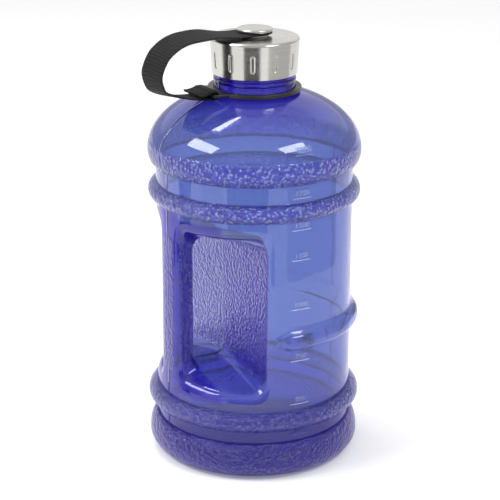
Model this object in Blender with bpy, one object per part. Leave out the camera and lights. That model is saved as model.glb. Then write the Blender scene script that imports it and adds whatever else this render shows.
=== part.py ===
"""Large water jug with a moulded grip, a screw cap and a webbing tether.

Units are metres, +Z is up. The origin is on the jug's axis at the level of its
foot ring. The grip is towards -X, the mould's parting plane is the XZ plane and
the scale of the jug is towards -Y.
"""

import math

import bmesh
import bpy
from mathutils import Vector

CLEARANCE = 0.0003            # gap between pieces that touch
WALL = 0.0020                 # blow-moulded wall

# Jug: radii of its outside
BODY_RADIUS = 0.0613
FOOT_INSET = 0.0065           # from the body's surface to the foot ring's outer edge
FOOT_WIDTH = 0.0118
PANEL_STEP = 0.0030
PANEL_RECESS = 0.0010
BASE_RING_BULGE = 0.0053
LOWER_RING_BULGE = 0.0059
UPPER_RING_BULGE = 0.0049
SHOULDER_BULGE = 0.0050

# Jug: heights, from the foot up
BASE_RING_MIDDLE = 0.0114
BASE_RING_TOP = 0.0240
LOWER_RING_BOTTOM = 0.0316
LOWER_RING_HEIGHT = 0.0125
BODY_TOP = 0.1660             # where the upper grip ring starts
UPPER_RING_HEIGHT = 0.0115
SHOULDER_GROOVE = 0.0109
SHOULDER_FOOT = 0.0087        # from the groove's top to the shoulder's widest
DOME_RISE = 0.0388
DOME_FULLNESS = 2.07          # exponent of the dome's curve; 2 is a plain ellipse

# Neck finish
THREAD_ROOT_RADIUS = 0.0228
THREAD_DEPTH = 0.0010
THREAD_PITCH = 0.0040
THREAD_TURNS = 2.25
THREAD_START_ANGLE = math.radians(3.7)
THREAD_WIDTH = (0.0016, 0.0008)
THREAD_RISE = 0.0033          # from the ledge to the thread's start
THREAD_BURY = 0.0005
NECK_STEP = 0.0021            # from the thread's root out to the neck below the bead
BEAD_STEP = 0.0005
GROOVE_DEPTH = 0.0004
LEDGE_STEP = 0.0001
EDGE_BREAK = 0.0002
MOUTH_CHAMFER = 0.0005
NECK_LENGTH = 0.00656         # from the dome's top to the bead
BEAD_HEIGHT = 0.0024
BEAD_TO_LEDGE = 0.0006
LEDGE_HEIGHT = 0.0014
MOUTH_LENGTH = 0.0179         # from the ledge to the mouth

# Grip and the two finger recesses, which meet at the parting plane
GRIP_HALF_WIDTH = 0.0106
GRIP_DEPTH = 0.0127           # from the body's surface to the grip's inner face
RECESS_WALL = 0.0220          # from the axis to the recess's flat wall
RECESS_BOTTOM = 0.0552
RECESS_TO_RING = 0.0105
HOLE_STEP_BOTTOM = 0.0103     # how far the floor rises to the parting plane
HOLE_STEP_TOP = 0.0097
HOLE_CORNER = 0.0065
OPENING_CORNER = 0.0090
SIDE_LIP = 0.0030
END_LIP = 0.0060
GRIP_EDGE = 0.0025
INNER_EDGE_SHARE = 0.4
LIP_SHARE = 0.5
FLOOR_INSET = 0.0040

# Finger ridge round the back
RIDGE_MIDDLE = 0.0902
RIDGE_HALF_HEIGHT = 0.0063
RIDGE_BULGE = 0.0050
RIDGE_TO_OPENING = math.radians(0.2)
RIDGE_TAPER = math.radians(6)

# Neck collar with the slot that holds the strap
COLLAR_WIDTH = 0.0036
COLLAR_LIFT = 0.00046         # from the dome's top to the collar
COLLAR_HEIGHT = 0.0026
TAB_REACH = 0.0062            # from the collar's ring to the tab's outer edge
TAB_SIDE = 0.0023             # beside the slot
TAB_THICKNESS = 0.0019
TAB_CORNER = 0.0025
TAB_ROOT = 0.0035
TAB_RELIEF = 0.0006
SLOT_OFFSET = 0.0004
SLOT_WIDTH = 0.0027
SLOT_CLEARANCE = 0.00045

# Webbing strap
STRAP_WIDTH = 0.0215
STRAP_THICKNESS = 0.0015
STRAP_STATIONS = 4
STRAP_LEAN = 0.13             # slope across the loop, which leans outward on its +Y side
LEAN_RISE = (0.030, 0.052)    # from the strap's round end to where the lean starts and is full
LEAN_FADE = (0.112, 0.140)
STRAP_SLACK = 0.0001
STRAP_GAP_BELOW = 0.00055     # between the tab and the strap under it
STRAP_GAP_ABOVE = 0.0004

# Cap
CAP_GAP = 0.0005              # between the ledge and the cap
CAP_FLARE = 0.0011
CAP_EDGE = 0.0016
SHELL_WALL = 0.0005
SHELL_GAP = 0.0004
CORE_WALL = 0.0017
CORE_SIDE_WALL = 0.0011
CORE_LIFT = 0.0004
THREAD_GAP = 0.0004
SEAL_THICKNESS = 0.0015
SEAL_REACH = 0.0033           # how far the seal covers the bore
POST_RADIUS = 0.0026
POST_GAP = 0.0004
EYELET_WALL = 0.0008
BUTTON_RADIUS = 0.0110
BUTTON_THICKNESS = 0.0019
BUTTON_EDGE = 0.0007
SWIVEL_WASHER_WIDTH = 0.0050
SWIVEL_WASHER_THICKNESS = 0.0007
NUT_WASHER_WIDTH = 0.0045
NUT_WASHER_THICKNESS = 0.0008
NUT_WALL = 0.0011             # thinnest wall, at the nut's flats
NUT_HEIGHT = 0.0032
POST_PAST_NUT = 0.0010

# Mesh columns: how far the ones beside the openings stay clear of the lips
COLUMN_CLEARANCE = (math.radians(1.95), math.radians(4.04))
OPENING_CELLS = 7
BACK_CELLS = 11

# Fineness
TURNED_STEPS = 36
SMALL_STEPS = 20
THREAD_STEPS_PER_TURN = 20

# Radii that follow from the ones above
FOOT_OUTER_RADIUS = BODY_RADIUS - FOOT_INSET
FOOT_INNER_RADIUS = FOOT_OUTER_RADIUS - FOOT_WIDTH
PANEL_RADIUS = FOOT_INNER_RADIUS - PANEL_STEP
GRIP_INNER = BODY_RADIUS - GRIP_DEPTH
SHOULDER_RADIUS = BODY_RADIUS + SHOULDER_BULGE
NECK_BORE = THREAD_ROOT_RADIUS - WALL
NECK_RADIUS = THREAD_ROOT_RADIUS + NECK_STEP
BEAD_RADIUS = NECK_RADIUS + BEAD_STEP
COLLAR_INNER_RADIUS = NECK_RADIUS + CLEARANCE
COLLAR_OUTER_RADIUS = COLLAR_INNER_RADIUS + COLLAR_WIDTH
SLOT = (COLLAR_OUTER_RADIUS + SLOT_OFFSET, COLLAR_OUTER_RADIUS + SLOT_OFFSET + SLOT_WIDTH)
TAB_END = COLLAR_OUTER_RADIUS + TAB_REACH
SLOT_REACH = STRAP_WIDTH / 2 + SLOT_CLEARANCE
TAB_HALF_WIDTH = SLOT_REACH + TAB_SIDE
CORE_BORE = THREAD_ROOT_RADIUS + THREAD_DEPTH + THREAD_GAP
CAP_BOTTOM_RADIUS = CORE_BORE + CORE_SIDE_WALL + SHELL_GAP + SHELL_WALL
CAP_TOP_RADIUS = CAP_BOTTOM_RADIUS + CAP_FLARE
SEAL_INNER_RADIUS = NECK_BORE - SEAL_REACH
HOLE_RADIUS = POST_RADIUS + POST_GAP
EYELET_RADIUS = HOLE_RADIUS + EYELET_WALL
SWIVEL_WASHER_RADIUS = HOLE_RADIUS + SWIVEL_WASHER_WIDTH
NUT_WASHER_RADIUS = HOLE_RADIUS + NUT_WASHER_WIDTH
NUT_HALF_FLATS = POST_RADIUS + CLEARANCE + NUT_WALL

# Angles from the grip's plane that follow from the ones above
LIP_ANGLE = SIDE_LIP / BODY_RADIUS
OPENING_ANGLES = (
    math.asin(GRIP_HALF_WIDTH / BODY_RADIUS) - LIP_ANGLE - COLUMN_CLEARANCE[0],
    math.acos(RECESS_WALL / BODY_RADIUS) + LIP_ANGLE + COLUMN_CLEARANCE[1],
)
RIDGE_END_ANGLE = OPENING_ANGLES[1] + RIDGE_TO_OPENING

# Heights that follow from the ones above
LOWER_RING = (LOWER_RING_BOTTOM, LOWER_RING_BOTTOM + LOWER_RING_HEIGHT)
UPPER_RING = (BODY_TOP, BODY_TOP + UPPER_RING_HEIGHT)
RECESS_TOP = BODY_TOP - RECESS_TO_RING
HOLE_TOP = RECESS_TOP - HOLE_STEP_TOP
HOLE_BOTTOM = RECESS_BOTTOM + HOLE_STEP_BOTTOM
SHOULDER_START = UPPER_RING[1] + SHOULDER_GROOVE
SHOULDER_MIDDLE = SHOULDER_START + SHOULDER_FOOT
DOME_POWER = 2 / DOME_FULLNESS
DOME_END = math.acos((NECK_RADIUS / SHOULDER_RADIUS) ** (1 / DOME_POWER))
DOME_TOP = SHOULDER_MIDDLE + DOME_RISE * math.sin(DOME_END) ** DOME_POWER
COLLAR = (DOME_TOP + COLLAR_LIFT, DOME_TOP + COLLAR_LIFT + COLLAR_HEIGHT)
BEAD = (DOME_TOP + NECK_LENGTH, DOME_TOP + NECK_LENGTH + BEAD_HEIGHT)
LEDGE = (BEAD[1] + BEAD_TO_LEDGE, BEAD[1] + BEAD_TO_LEDGE + LEDGE_HEIGHT)
THREAD_START = LEDGE[1] + THREAD_RISE
MOUTH_TOP = LEDGE[1] + MOUTH_LENGTH
CAP_BOTTOM = LEDGE[1] + CAP_GAP
SEAL_TOP = MOUTH_TOP + CLEARANCE + SEAL_THICKNESS
PLATE_BOTTOM = SEAL_TOP + CLEARANCE
CAP_TOP = PLATE_BOTTOM + CORE_WALL + SHELL_GAP + SHELL_WALL
NUT_TOP = PLATE_BOTTOM - NUT_WASHER_THICKNESS - 2 * CLEARANCE
SWIVEL_WASHER_BOTTOM = CAP_TOP + CLEARANCE
STRAP_BOTTOM = SWIVEL_WASHER_BOTTOM + SWIVEL_WASHER_THICKNESS + CLEARANCE + STRAP_SLACK
STRAP_LEVEL = STRAP_BOTTOM + STRAP_THICKNESS / 2
BUTTON_BOTTOM = STRAP_BOTTOM + STRAP_THICKNESS + CLEARANCE


def clear_scene():
    """Remove every object that the scene holds."""
    for item in list(bpy.data.objects):
        bpy.data.objects.remove(item, do_unlink=True)


def make_material(name, color, roughness, metallic=0.0, alpha=1.0):
    """Return a Principled material."""
    material = bpy.data.materials.new(name)
    material.use_nodes = True
    shader = material.node_tree.nodes["Principled BSDF"]
    shader.inputs["Base Color"].default_value = (*color, 1.0)
    shader.inputs["Roughness"].default_value = roughness
    shader.inputs["Metallic"].default_value = metallic
    shader.inputs["Alpha"].default_value = alpha
    return material


def make_object(name, bm, material, smooth_angle=30):
    """Turn a bmesh into a named object with outward faces."""
    bmesh.ops.remove_doubles(bm, verts=bm.verts, dist=1e-7)
    bmesh.ops.recalc_face_normals(bm, faces=bm.faces)
    mesh = bpy.data.meshes.new(name)
    bm.to_mesh(mesh)
    bm.free()
    mesh.shade_smooth()
    mesh.set_sharp_from_angle(angle=math.radians(smooth_angle))
    mesh.materials.append(material)
    item = bpy.data.objects.new(name, mesh)
    bpy.context.scene.collection.objects.link(item)
    return item


def apply_boolean(item, cutter, operation):
    """Combine an object with a cutter, keep the result in the object's mesh and drop the cutter."""
    cutter.hide_render = True
    cutter.display_type = "WIRE"
    modifier = item.modifiers.new(operation.lower(), "BOOLEAN")
    modifier.operation = operation
    modifier.solver = "EXACT"
    modifier.object = cutter
    graph = bpy.context.evaluated_depsgraph_get()
    mesh = bpy.data.meshes.new_from_object(item.evaluated_get(graph))
    item.modifiers.remove(modifier)
    item.data = mesh
    bpy.data.objects.remove(cutter, do_unlink=True)


def turned(name, profile, material, steps):
    """Turn a closed profile of (radius, height) points about the Z axis."""
    bm = bmesh.new()
    verts = [bm.verts.new((radius, 0, height)) for radius, height in profile]
    edges = [bm.edges.new((a, b)) for a, b in zip(verts, verts[1:] + verts[:1])]
    bmesh.ops.spin(
        bm, geom=verts + edges, cent=(0, 0, 0), axis=(0, 0, 1),
        angle=math.tau, steps=steps, use_merge=True,
    )
    return make_object(name, bm, material)


def arc(centre, radii, start_deg, end_deg, steps):
    """Return points on an elliptical arc in the profile plane, both ends included."""
    points = []
    for step in range(steps + 1):
        angle = math.radians(start_deg + (end_deg - start_deg) * step / steps)
        points.append((
            centre[0] + radii[0] * math.cos(angle),
            centre[1] + radii[1] * math.sin(angle),
        ))
    return points


def dome_arc(radius, rise, end_radius, steps):
    """Return the dome's curve from its widest point up to the neck, without its first point."""
    end = math.acos((end_radius / radius) ** (1 / DOME_POWER))
    points = []
    for step in range(1, steps + 1):
        angle = end * step / steps
        height = SHOULDER_MIDDLE + rise * math.sin(angle) ** DOME_POWER
        points.append((radius * math.cos(angle) ** DOME_POWER, height))
    return points


def bulge_arc(span, bulge, wall, steps):
    """Return the round swell of a ring between two heights, moved inward by a wall."""
    half = (span[1] - span[0]) / 2
    radius = (half**2 + bulge**2) / (2 * bulge)
    centre = BODY_RADIUS + bulge - radius
    reach = BODY_RADIUS - wall - centre
    limit = math.degrees(math.acos(reach / (radius - wall)))
    middle = (span[0] + span[1]) / 2
    return arc((centre, middle), (radius - wall, radius - wall), -limit, limit, steps)


def body_heights():
    """Return the heights of the mesh rows between the two grip rings."""
    ridge = [RIDGE_MIDDLE + RIDGE_HALF_HEIGHT * share for share in (-1, -0.8, -0.45, 0, 0.45, 0.8, 1)]
    low = LOWER_RING[1] + 0.003
    high = UPPER_RING[0] - 0.0028
    upper = [ridge[-1] + (high - ridge[-1]) * share for share in (0.35, 0.7)]
    return [low, (low + ridge[0]) / 2, *ridge, *upper, high]


def jug_profile(wall):
    """Return the jug's profile from the base's centre to the neck, moved inward by a wall."""
    radius = BODY_RADIUS - wall
    base_corner = (BODY_RADIUS + BASE_RING_BULGE - FOOT_OUTER_RADIUS - wall, BASE_RING_MIDDLE - wall)
    points = [(0.0, PANEL_RECESS + wall), (PANEL_RADIUS, PANEL_RECESS + wall)]
    points.append((FOOT_INNER_RADIUS, wall))
    points += arc((FOOT_OUTER_RADIUS, BASE_RING_MIDDLE), base_corner, -90, 0, 4)
    upper_base = (BASE_RING_BULGE, BASE_RING_TOP - BASE_RING_MIDDLE - wall)
    points += arc((radius, BASE_RING_MIDDLE), upper_base, 0, 90, 3)[1:]
    points += bulge_arc(LOWER_RING, LOWER_RING_BULGE, wall, 5)
    points += [(radius, height) for height in body_heights()]
    points += bulge_arc(UPPER_RING, UPPER_RING_BULGE, wall, 5)
    shoulder = (SHOULDER_BULGE, SHOULDER_MIDDLE - SHOULDER_START - wall)
    points += arc((radius, SHOULDER_MIDDLE), shoulder, -90, 0, 3)
    end_radius = NECK_BORE if wall else NECK_RADIUS
    points += dome_arc(SHOULDER_RADIUS - wall, DOME_RISE - wall, end_radius, 7)
    return points


def neck_profile():
    """Return the outside of the neck from above its root to the mouth and down to its bore."""
    groove = NECK_RADIUS - GROOVE_DEPTH
    ledge = BEAD_RADIUS - LEDGE_STEP
    return [
        (NECK_RADIUS, BEAD[0] - BEAD_STEP),
        (groove, BEAD[0]),
        (BEAD_RADIUS, BEAD[0] + EDGE_BREAK),
        (BEAD_RADIUS, BEAD[1] - EDGE_BREAK),
        (groove, BEAD[1]),
        (groove, LEDGE[0]),
        (ledge, LEDGE[0] + EDGE_BREAK),
        (ledge, LEDGE[1] - EDGE_BREAK),
        (THREAD_ROOT_RADIUS, LEDGE[1]),
        (THREAD_ROOT_RADIUS, MOUTH_TOP - MOUTH_CHAMFER),
        (THREAD_ROOT_RADIUS - MOUTH_CHAMFER, MOUTH_TOP),
        (NECK_BORE + MOUTH_CHAMFER, MOUTH_TOP),
        (NECK_BORE, MOUTH_TOP - MOUTH_CHAMFER),
    ]


def jug_angles():
    """Return half of the mesh columns' angles, measured from the grip's plane."""
    first, last = OPENING_ANGLES
    opening = [first + (last - first) * cell / OPENING_CELLS for cell in range(OPENING_CELLS + 1)]
    back = [last + (math.pi - last) * cell / BACK_CELLS for cell in range(1, BACK_CELLS + 1)]
    return [0.0] + opening + back


def opening_columns():
    """Return the two columns of jug_angles() between which the opening is cut."""
    return 1, 1 + OPENING_CELLS


def ridge_offset(angle, height):
    """Return how far the finger ridge stands out at an angle from the grip and a height."""
    inside = (abs(angle) - RIDGE_END_ANGLE) / RIDGE_TAPER
    if inside <= 0:
        return 0.0
    span = (height - RIDGE_MIDDLE) / RIDGE_HALF_HEIGHT
    if abs(span) >= 1:
        return 0.0
    radius = (RIDGE_HALF_HEIGHT**2 + RIDGE_BULGE**2) / (2 * RIDGE_BULGE)
    swell = math.sqrt(radius**2 - (height - RIDGE_MIDDLE)**2) - (radius - RIDGE_BULGE)
    taper = math.sin(min(inside, 1.0) * math.pi / 2)
    return swell * taper


def jug_point(radius, angle, height):
    """Return the point at an angle from the grip's plane, turning from -X towards -Y."""
    return Vector((-radius * math.cos(angle), -radius * math.sin(angle), height))


def rounded_box(u, v, low, high, corner):
    """Map a point on the edge of the unit square to a rectangle with round corners."""
    x = low[0] + (high[0] - low[0]) * (u + 1) / 2
    z = low[1] + (high[1] - low[1]) * (v + 1) / 2
    core_x = min(max(x, low[0] + corner), high[0] - corner)
    core_z = min(max(z, low[1] + corner), high[1] - corner)
    away = Vector((x - core_x, z - core_z))
    if away.length < 1e-9:
        return x, z
    away = away.normalized() * corner
    return core_x + away.x, core_z + away.y


def tunnel_path(u, v, wall):
    """Return a path from the body's surface through one finger recess to the parting plane.

    The point (u, v) is on the edge of the unit square: u runs from the grip (-1) to
    the recess's flat wall (+1), v from the bottom to the top.
    """
    radius = BODY_RADIUS - wall
    grip_angle = math.asin((GRIP_HALF_WIDTH - wall) / radius)
    wall_angle = math.acos((RECESS_WALL - wall) / radius)
    low = (grip_angle, RECESS_BOTTOM - wall)
    high = (wall_angle, RECESS_TOP + wall)
    corner_angle = (OPENING_CORNER + wall) / radius
    side = (SIDE_LIP - LIP_SHARE * wall) / radius
    end = END_LIP - LIP_SHARE * wall

    def on_surface(grow_side, grow_end, corner):
        """Return the point on the body's surface for an opening grown by two lips."""
        unit = radius
        box_low = ((low[0] - grow_side) * unit, low[1] - grow_end)
        box_high = ((high[0] + grow_side) * unit, high[1] + grow_end)
        s, height = rounded_box(u, v, box_low, box_high, corner)
        return jug_point(radius, s / unit, height)

    rim = on_surface(side, end, corner_angle * radius + end / 2)
    edge = on_surface(0, 0, corner_angle * radius)
    slope = (HOLE_BOTTOM - RECESS_BOTTOM) / (BODY_RADIUS - FLOOR_INSET)
    depth = GRIP_HALF_WIDTH - wall
    hole_low = (-GRIP_INNER - wall, HOLE_BOTTOM - wall)
    hole_high = (-RECESS_WALL + wall, HOLE_TOP + wall)
    corner = HOLE_CORNER + wall
    x0, z0 = rounded_box(u, v, hole_low, hole_high, corner)
    grown = slope * depth
    x1, z1 = rounded_box(
        u, v, (hole_low[0], hole_low[1] - grown), (hole_high[0], hole_high[1] + grown), corner,
    )
    hole = Vector((x0, 0, z0))
    bend = Vector((x1, -depth, z1))
    lip = SIDE_LIP + (END_LIP - SIDE_LIP) * min(abs(v) ** 8, 1.0)
    inward = (bend - edge).normalized()
    start = edge + inward * lip
    path = [rim]
    path.append(rim.lerp(edge, 0.5).lerp(edge.lerp(start, 0.5), 0.5))
    path.append(start)
    bend_radius = GRIP_EDGE if wall == 0 else GRIP_EDGE * INNER_EDGE_SHARE
    before = bend + (start - bend).normalized() * bend_radius
    after = bend + (hole - bend).normalized() * bend_radius
    path += [before, before.lerp(bend, 0.5).lerp(bend.lerp(after, 0.5), 0.5), after, hole]
    return path


def opening_border(columns, rows):
    """Return the grid cells' corners round the opening with their places on the unit square."""
    first, last = opening_columns()
    count = len(rows) - 1

    def across(column):
        """Return a column's place on the unit square, -1 at the grip."""
        return 2 * (columns[column] - columns[first]) / (columns[last] - columns[first]) - 1

    def upward(row):
        """Return a row's place on the unit square, -1 at the bottom."""
        return 2 * (rows[row] - rows[0]) / (rows[-1] - rows[0]) - 1

    border = [(column, 0, across(column), -1) for column in range(first, last)]
    border += [(last, row, 1, upward(row)) for row in range(count)]
    border += [(column, count, across(column), 1) for column in range(last, first, -1)]
    border += [(first, row, -1, upward(row)) for row in range(count, 0, -1)]
    return border


def add_loop_faces(bm, loop_a, loop_b):
    """Join two closed loops of the same length with quads."""
    count = len(loop_a)
    for i in range(count):
        j = (i + 1) % count
        bm.faces.new((loop_a[i], loop_a[j], loop_b[j], loop_b[i]))


def add_skin(bm, wall):
    """Add the jug's skin, moved inward by a wall, and return its top loop."""
    half = jug_angles()
    angles = half + [-angle for angle in reversed(half[1:-1])]
    profile = jug_profile(wall)
    heights = body_heights()
    first_row = next(i for i, point in enumerate(profile) if abs(point[1] - heights[0]) < 1e-7) - 1
    last_row = first_row + len(heights) - 1
    centre = bm.verts.new((0, 0, profile[0][1]))
    grid = []
    for radius, height in profile[1:]:
        row = [bm.verts.new(jug_point(radius + ridge_offset(a, height), a, height)) for a in angles]
        grid.append(row)
    count = len(angles)
    for i in range(count):
        bm.faces.new((centre, grid[0][i], grid[0][(i + 1) % count]))
    first, last = opening_columns()
    cut = set(range(first, last)) | {count - 1 - i for i in range(first, last)}
    for row in range(len(grid) - 1):
        for i in range(count):
            if first_row <= row < last_row and i in cut:
                continue
            j = (i + 1) % count
            bm.faces.new((grid[row][i], grid[row][j], grid[row + 1][j], grid[row + 1][i]))
    add_tunnel(bm, grid[first_row:last_row + 1], half, heights, wall, count)
    return grid[-1]


def add_tunnel(bm, rows, half, heights, wall, count):
    """Join the two openings in the skin by the finger recesses and the hole between them."""
    border = opening_border(half, heights)
    paths = [tunnel_path(u, v, wall) for _, _, u, v in border]
    near = [rows[row][column] for column, row, _, _ in border]
    far = [rows[row][(count - column) % count] for column, row, _, _ in border]
    middle = [bm.verts.new(path[-1]) for path in paths]
    mirror = Vector((1, -1, 1))
    for loop, flip in ((near, Vector((1, 1, 1))), (far, mirror)):
        previous = loop
        for step in range(len(paths[0]) - 1):
            points = [bm.verts.new(path[step] * flip) for path in paths]
            add_loop_faces(bm, previous, points)
            previous = points
        add_loop_faces(bm, previous, middle)
    bmesh.ops.remove_doubles(bm, verts=middle, dist=1e-7)


def helix(name, root, crest, embed, start, material):
    """Return a thread's solid, a trapezoid swept along a right-hand helix."""
    bm = bmesh.new()
    steps = round(THREAD_STEPS_PER_TURN * THREAD_TURNS)
    slope = (THREAD_WIDTH[0] - THREAD_WIDTH[1]) / 2 / (crest - root)
    inner = root - math.copysign(embed, crest - root)
    previous = None
    for step in range(steps + 1):
        angle = THREAD_START_ANGLE + math.tau * step / THREAD_STEPS_PER_TURN
        height = start + THREAD_PITCH * step / THREAD_STEPS_PER_TURN
        fade = min(step, steps - step, 3) / 3
        tip = root + (crest - root) * (0.15 + 0.85 * fade)
        top = THREAD_WIDTH[1] / 2 * (0.4 + 0.6 * fade)
        base = top + slope * (tip - inner)
        section = [(inner, -base), (tip, -top), (tip, top), (inner, base)]
        ring = [
            bm.verts.new((r * math.cos(angle), r * math.sin(angle), height + dz))
            for r, dz in section
        ]
        if previous:
            add_loop_faces(bm, previous, ring)
        else:
            bm.faces.new(ring)
        previous = ring
    bm.faces.new(previous)
    return make_object(name, bm, material)


def build_jug(material):
    """Build the blow-moulded jug with its threaded neck."""
    bm = bmesh.new()
    outer_top = add_skin(bm, 0.0)
    inner_top = add_skin(bm, WALL)
    half = jug_angles()
    angles = half + [-angle for angle in reversed(half[1:-1])]
    previous = outer_top
    for radius, height in neck_profile():
        ring = [bm.verts.new(jug_point(radius, angle, height)) for angle in angles]
        add_loop_faces(bm, previous, ring)
        previous = ring
    add_loop_faces(bm, previous, inner_top)
    jug = make_object("jug_body", bm, material)
    crest = THREAD_ROOT_RADIUS + THREAD_DEPTH
    thread = helix("neck_thread", THREAD_ROOT_RADIUS, crest, THREAD_BURY, THREAD_START, material)
    apply_boolean(jug, thread, "UNION")
    return jug


def rod(name, radius, span, material, steps=SMALL_STEPS):
    """Return a plain round rod on the axis between two heights."""
    bm = bmesh.new()
    bmesh.ops.create_cone(
        bm, cap_ends=True, segments=steps, radius1=radius, radius2=radius,
        depth=span[1] - span[0],
    )
    bmesh.ops.translate(bm, vec=(0, 0, (span[0] + span[1]) / 2), verts=bm.verts)
    return make_object(name, bm, material)


def box_cutter(name, low, high, material):
    """Return a box between two corners."""
    bm = bmesh.new()
    bmesh.ops.create_cube(bm, size=1.0)
    size = Vector(high) - Vector(low)
    bmesh.ops.scale(bm, vec=size, verts=bm.verts)
    bmesh.ops.translate(bm, vec=(Vector(high) + Vector(low)) / 2, verts=bm.verts)
    return make_object(name, bm, material)


def build_collar(material):
    """Build the loose collar under the bead, with its slotted tab towards the grip."""
    low, high = COLLAR
    ring = [
        (COLLAR_INNER_RADIUS, low), (COLLAR_OUTER_RADIUS, low),
        (COLLAR_OUTER_RADIUS, high), (COLLAR_INNER_RADIUS, high),
    ]
    collar = turned("neck_collar", ring, material, TURNED_STEPS)
    tab_low = high - TAB_THICKNESS
    bm = bmesh.new()
    bmesh.ops.create_cube(bm, size=1.0)
    inner = COLLAR_INNER_RADIUS - TAB_ROOT
    size = (TAB_END - inner, 2 * TAB_HALF_WIDTH, TAB_THICKNESS)
    bmesh.ops.scale(bm, vec=size, verts=bm.verts)
    centre = (-(TAB_END + inner) / 2, 0, (tab_low + high) / 2)
    bmesh.ops.translate(bm, vec=centre, verts=bm.verts)
    corners = [e for e in bm.edges if abs(e.verts[0].co.z - e.verts[1].co.z) > TAB_THICKNESS / 2]
    outer = [e for e in corners if e.verts[0].co.x < -TAB_END + 1e-6]
    bmesh.ops.bevel(
        bm, geom=outer, offset=TAB_CORNER, segments=4, profile=0.5, affect="EDGES", material=-1,
    )
    tab = make_object("tab", bm, material)
    bore_span = (tab_low - TAB_CORNER, high + TAB_CORNER)
    bore = rod("tab_bore", COLLAR_INNER_RADIUS + TAB_RELIEF, bore_span, material, TURNED_STEPS)
    apply_boolean(tab, bore, "DIFFERENCE")
    apply_boolean(collar, tab, "UNION")
    slot = box_cutter(
        "slot", (-SLOT[1], -SLOT_REACH, low - TAB_CORNER), (-SLOT[0], SLOT_REACH, high + TAB_CORNER), material,
    )
    apply_boolean(collar, slot, "DIFFERENCE")
    return collar


def strap_route():
    """Return the strap's middle line in the XZ plane, from the post to its sewn tail."""
    level = STRAP_LEVEL
    bar_low = COLLAR[1] - TAB_THICKNESS - STRAP_GAP_BELOW - STRAP_THICKNESS / 2
    bar_high = COLLAR[1] + STRAP_GAP_ABOVE + STRAP_THICKNESS / 2
    slot_middle = -(SLOT[0] + SLOT[1]) / 2
    loop = [
        (0.0, level), (-0.008, level), (-0.016, level), (-0.024, level + 0.0008),
        (-0.034, level + 0.0019), (-0.045, level + 0.0015), (-0.0515, level + 0.0005),
        (-0.057, level - 0.0015), (-0.0615, level - 0.0043), (-0.0655, level - 0.0080),
        (-0.0688, level - 0.0140), (-0.0701, level - 0.0192), (-0.0690, level - 0.0245),
        (-0.0663, level - 0.0290), (-0.0585, level - 0.0324), (slot_middle - 0.01945, bar_low + 0.0014),
        (slot_middle - 0.01245, bar_low + 0.0004), (slot_middle - 0.00545, bar_low + 0.0001),
        (slot_middle - 0.00265, bar_low),
    ]
    fold = [
        (slot_middle - 0.0014, bar_low + 0.0001), (slot_middle - 0.0003, bar_low + 0.0008),
        (slot_middle, bar_low + 0.0022), (slot_middle - 0.0001, bar_high - 0.0011),
        (slot_middle - 0.0010, bar_high - 0.0002), (slot_middle - 0.0024, bar_high),
        (slot_middle - 0.0045, bar_high), (slot_middle - 0.0075, bar_high - 0.0010),
        (slot_middle - 0.0103, bar_high - 0.0016), (slot_middle - 0.0130, bar_high - 0.0015),
    ]
    return [Vector((x, 0, z)) for x, z in loop + fold]


def smooth_route(points, steps):
    """Return points on a smooth curve through a route."""
    result = []
    padded = [2 * points[0] - points[1], *points, 2 * points[-1] - points[-2]]
    for i in range(len(points) - 1):
        a, b, c, d = padded[i:i + 4]
        count = steps if (c - b).length > 0.004 else 2
        for step in range(count):
            t = step / count
            result.append(0.5 * (
                2 * b + (c - a) * t + (2 * a - 5 * b + 4 * c - d) * t**2
                + (3 * b - a - 3 * c + d) * t**3
            ))
    result.append(points[-1])
    return result


def strap_lean(along):
    """Return the slope across the strap at a distance along it, which is most in the loop."""
    rise = (along - LEAN_RISE[0]) / (LEAN_RISE[1] - LEAN_RISE[0])
    fall = (LEAN_FADE[1] - along) / (LEAN_FADE[1] - LEAN_FADE[0])
    ease = min(max(min(rise, fall), 0.0), 1.0)
    return STRAP_LEAN * ease * ease * (3 - 2 * ease)


def build_strap(material):
    """Build the webbing strap with its round end about the post."""
    half = STRAP_WIDTH / 2
    route = smooth_route(strap_route(), STRAP_STATIONS)
    end = [Vector((half * share, 0, STRAP_LEVEL)) for share in (0.985, 0.9, 0.72, 0.4)]
    widths = [math.sqrt(half**2 - point.x**2) for point in end] + [half] * len(route)
    stations = end + route
    bm = bmesh.new()
    previous = None
    distance = 0.0
    for i, point in enumerate(stations):
        distance += (point - stations[max(i - 1, 0)]).length
        ahead = stations[min(i + 1, len(stations) - 1)] - stations[max(i - 1, 0)]
        normal = Vector((ahead.z, 0, -ahead.x)).normalized()
        out = normal * (STRAP_THICKNESS / 2)
        side = Vector((0, widths[i], 0)) + normal * strap_lean(distance) * widths[i]
        ring = [bm.verts.new(point + a * out + b * side) for a, b in ((1, 1), (1, -1), (-1, -1), (-1, 1))]
        if previous:
            add_loop_faces(bm, previous, ring)
        else:
            bm.faces.new(ring)
        previous = ring
    bm.faces.new(previous)
    strap = make_object("strap", bm, material)
    hole_radius = EYELET_RADIUS + CLEARANCE + STRAP_SLACK
    cutter = rod("strap_hole", hole_radius, (CAP_TOP, BUTTON_BOTTOM + BUTTON_THICKNESS), material)
    apply_boolean(strap, cutter, "DIFFERENCE")
    return strap


def build_eyelet(material):
    """Build the eyelet that lines the strap's hole."""
    low, high = STRAP_BOTTOM, STRAP_BOTTOM + STRAP_THICKNESS - STRAP_SLACK
    ring = [(HOLE_RADIUS, low), (EYELET_RADIUS, low), (EYELET_RADIUS, high), (HOLE_RADIUS, high)]
    return turned("strap_eyelet", ring, material, SMALL_STEPS)


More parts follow.
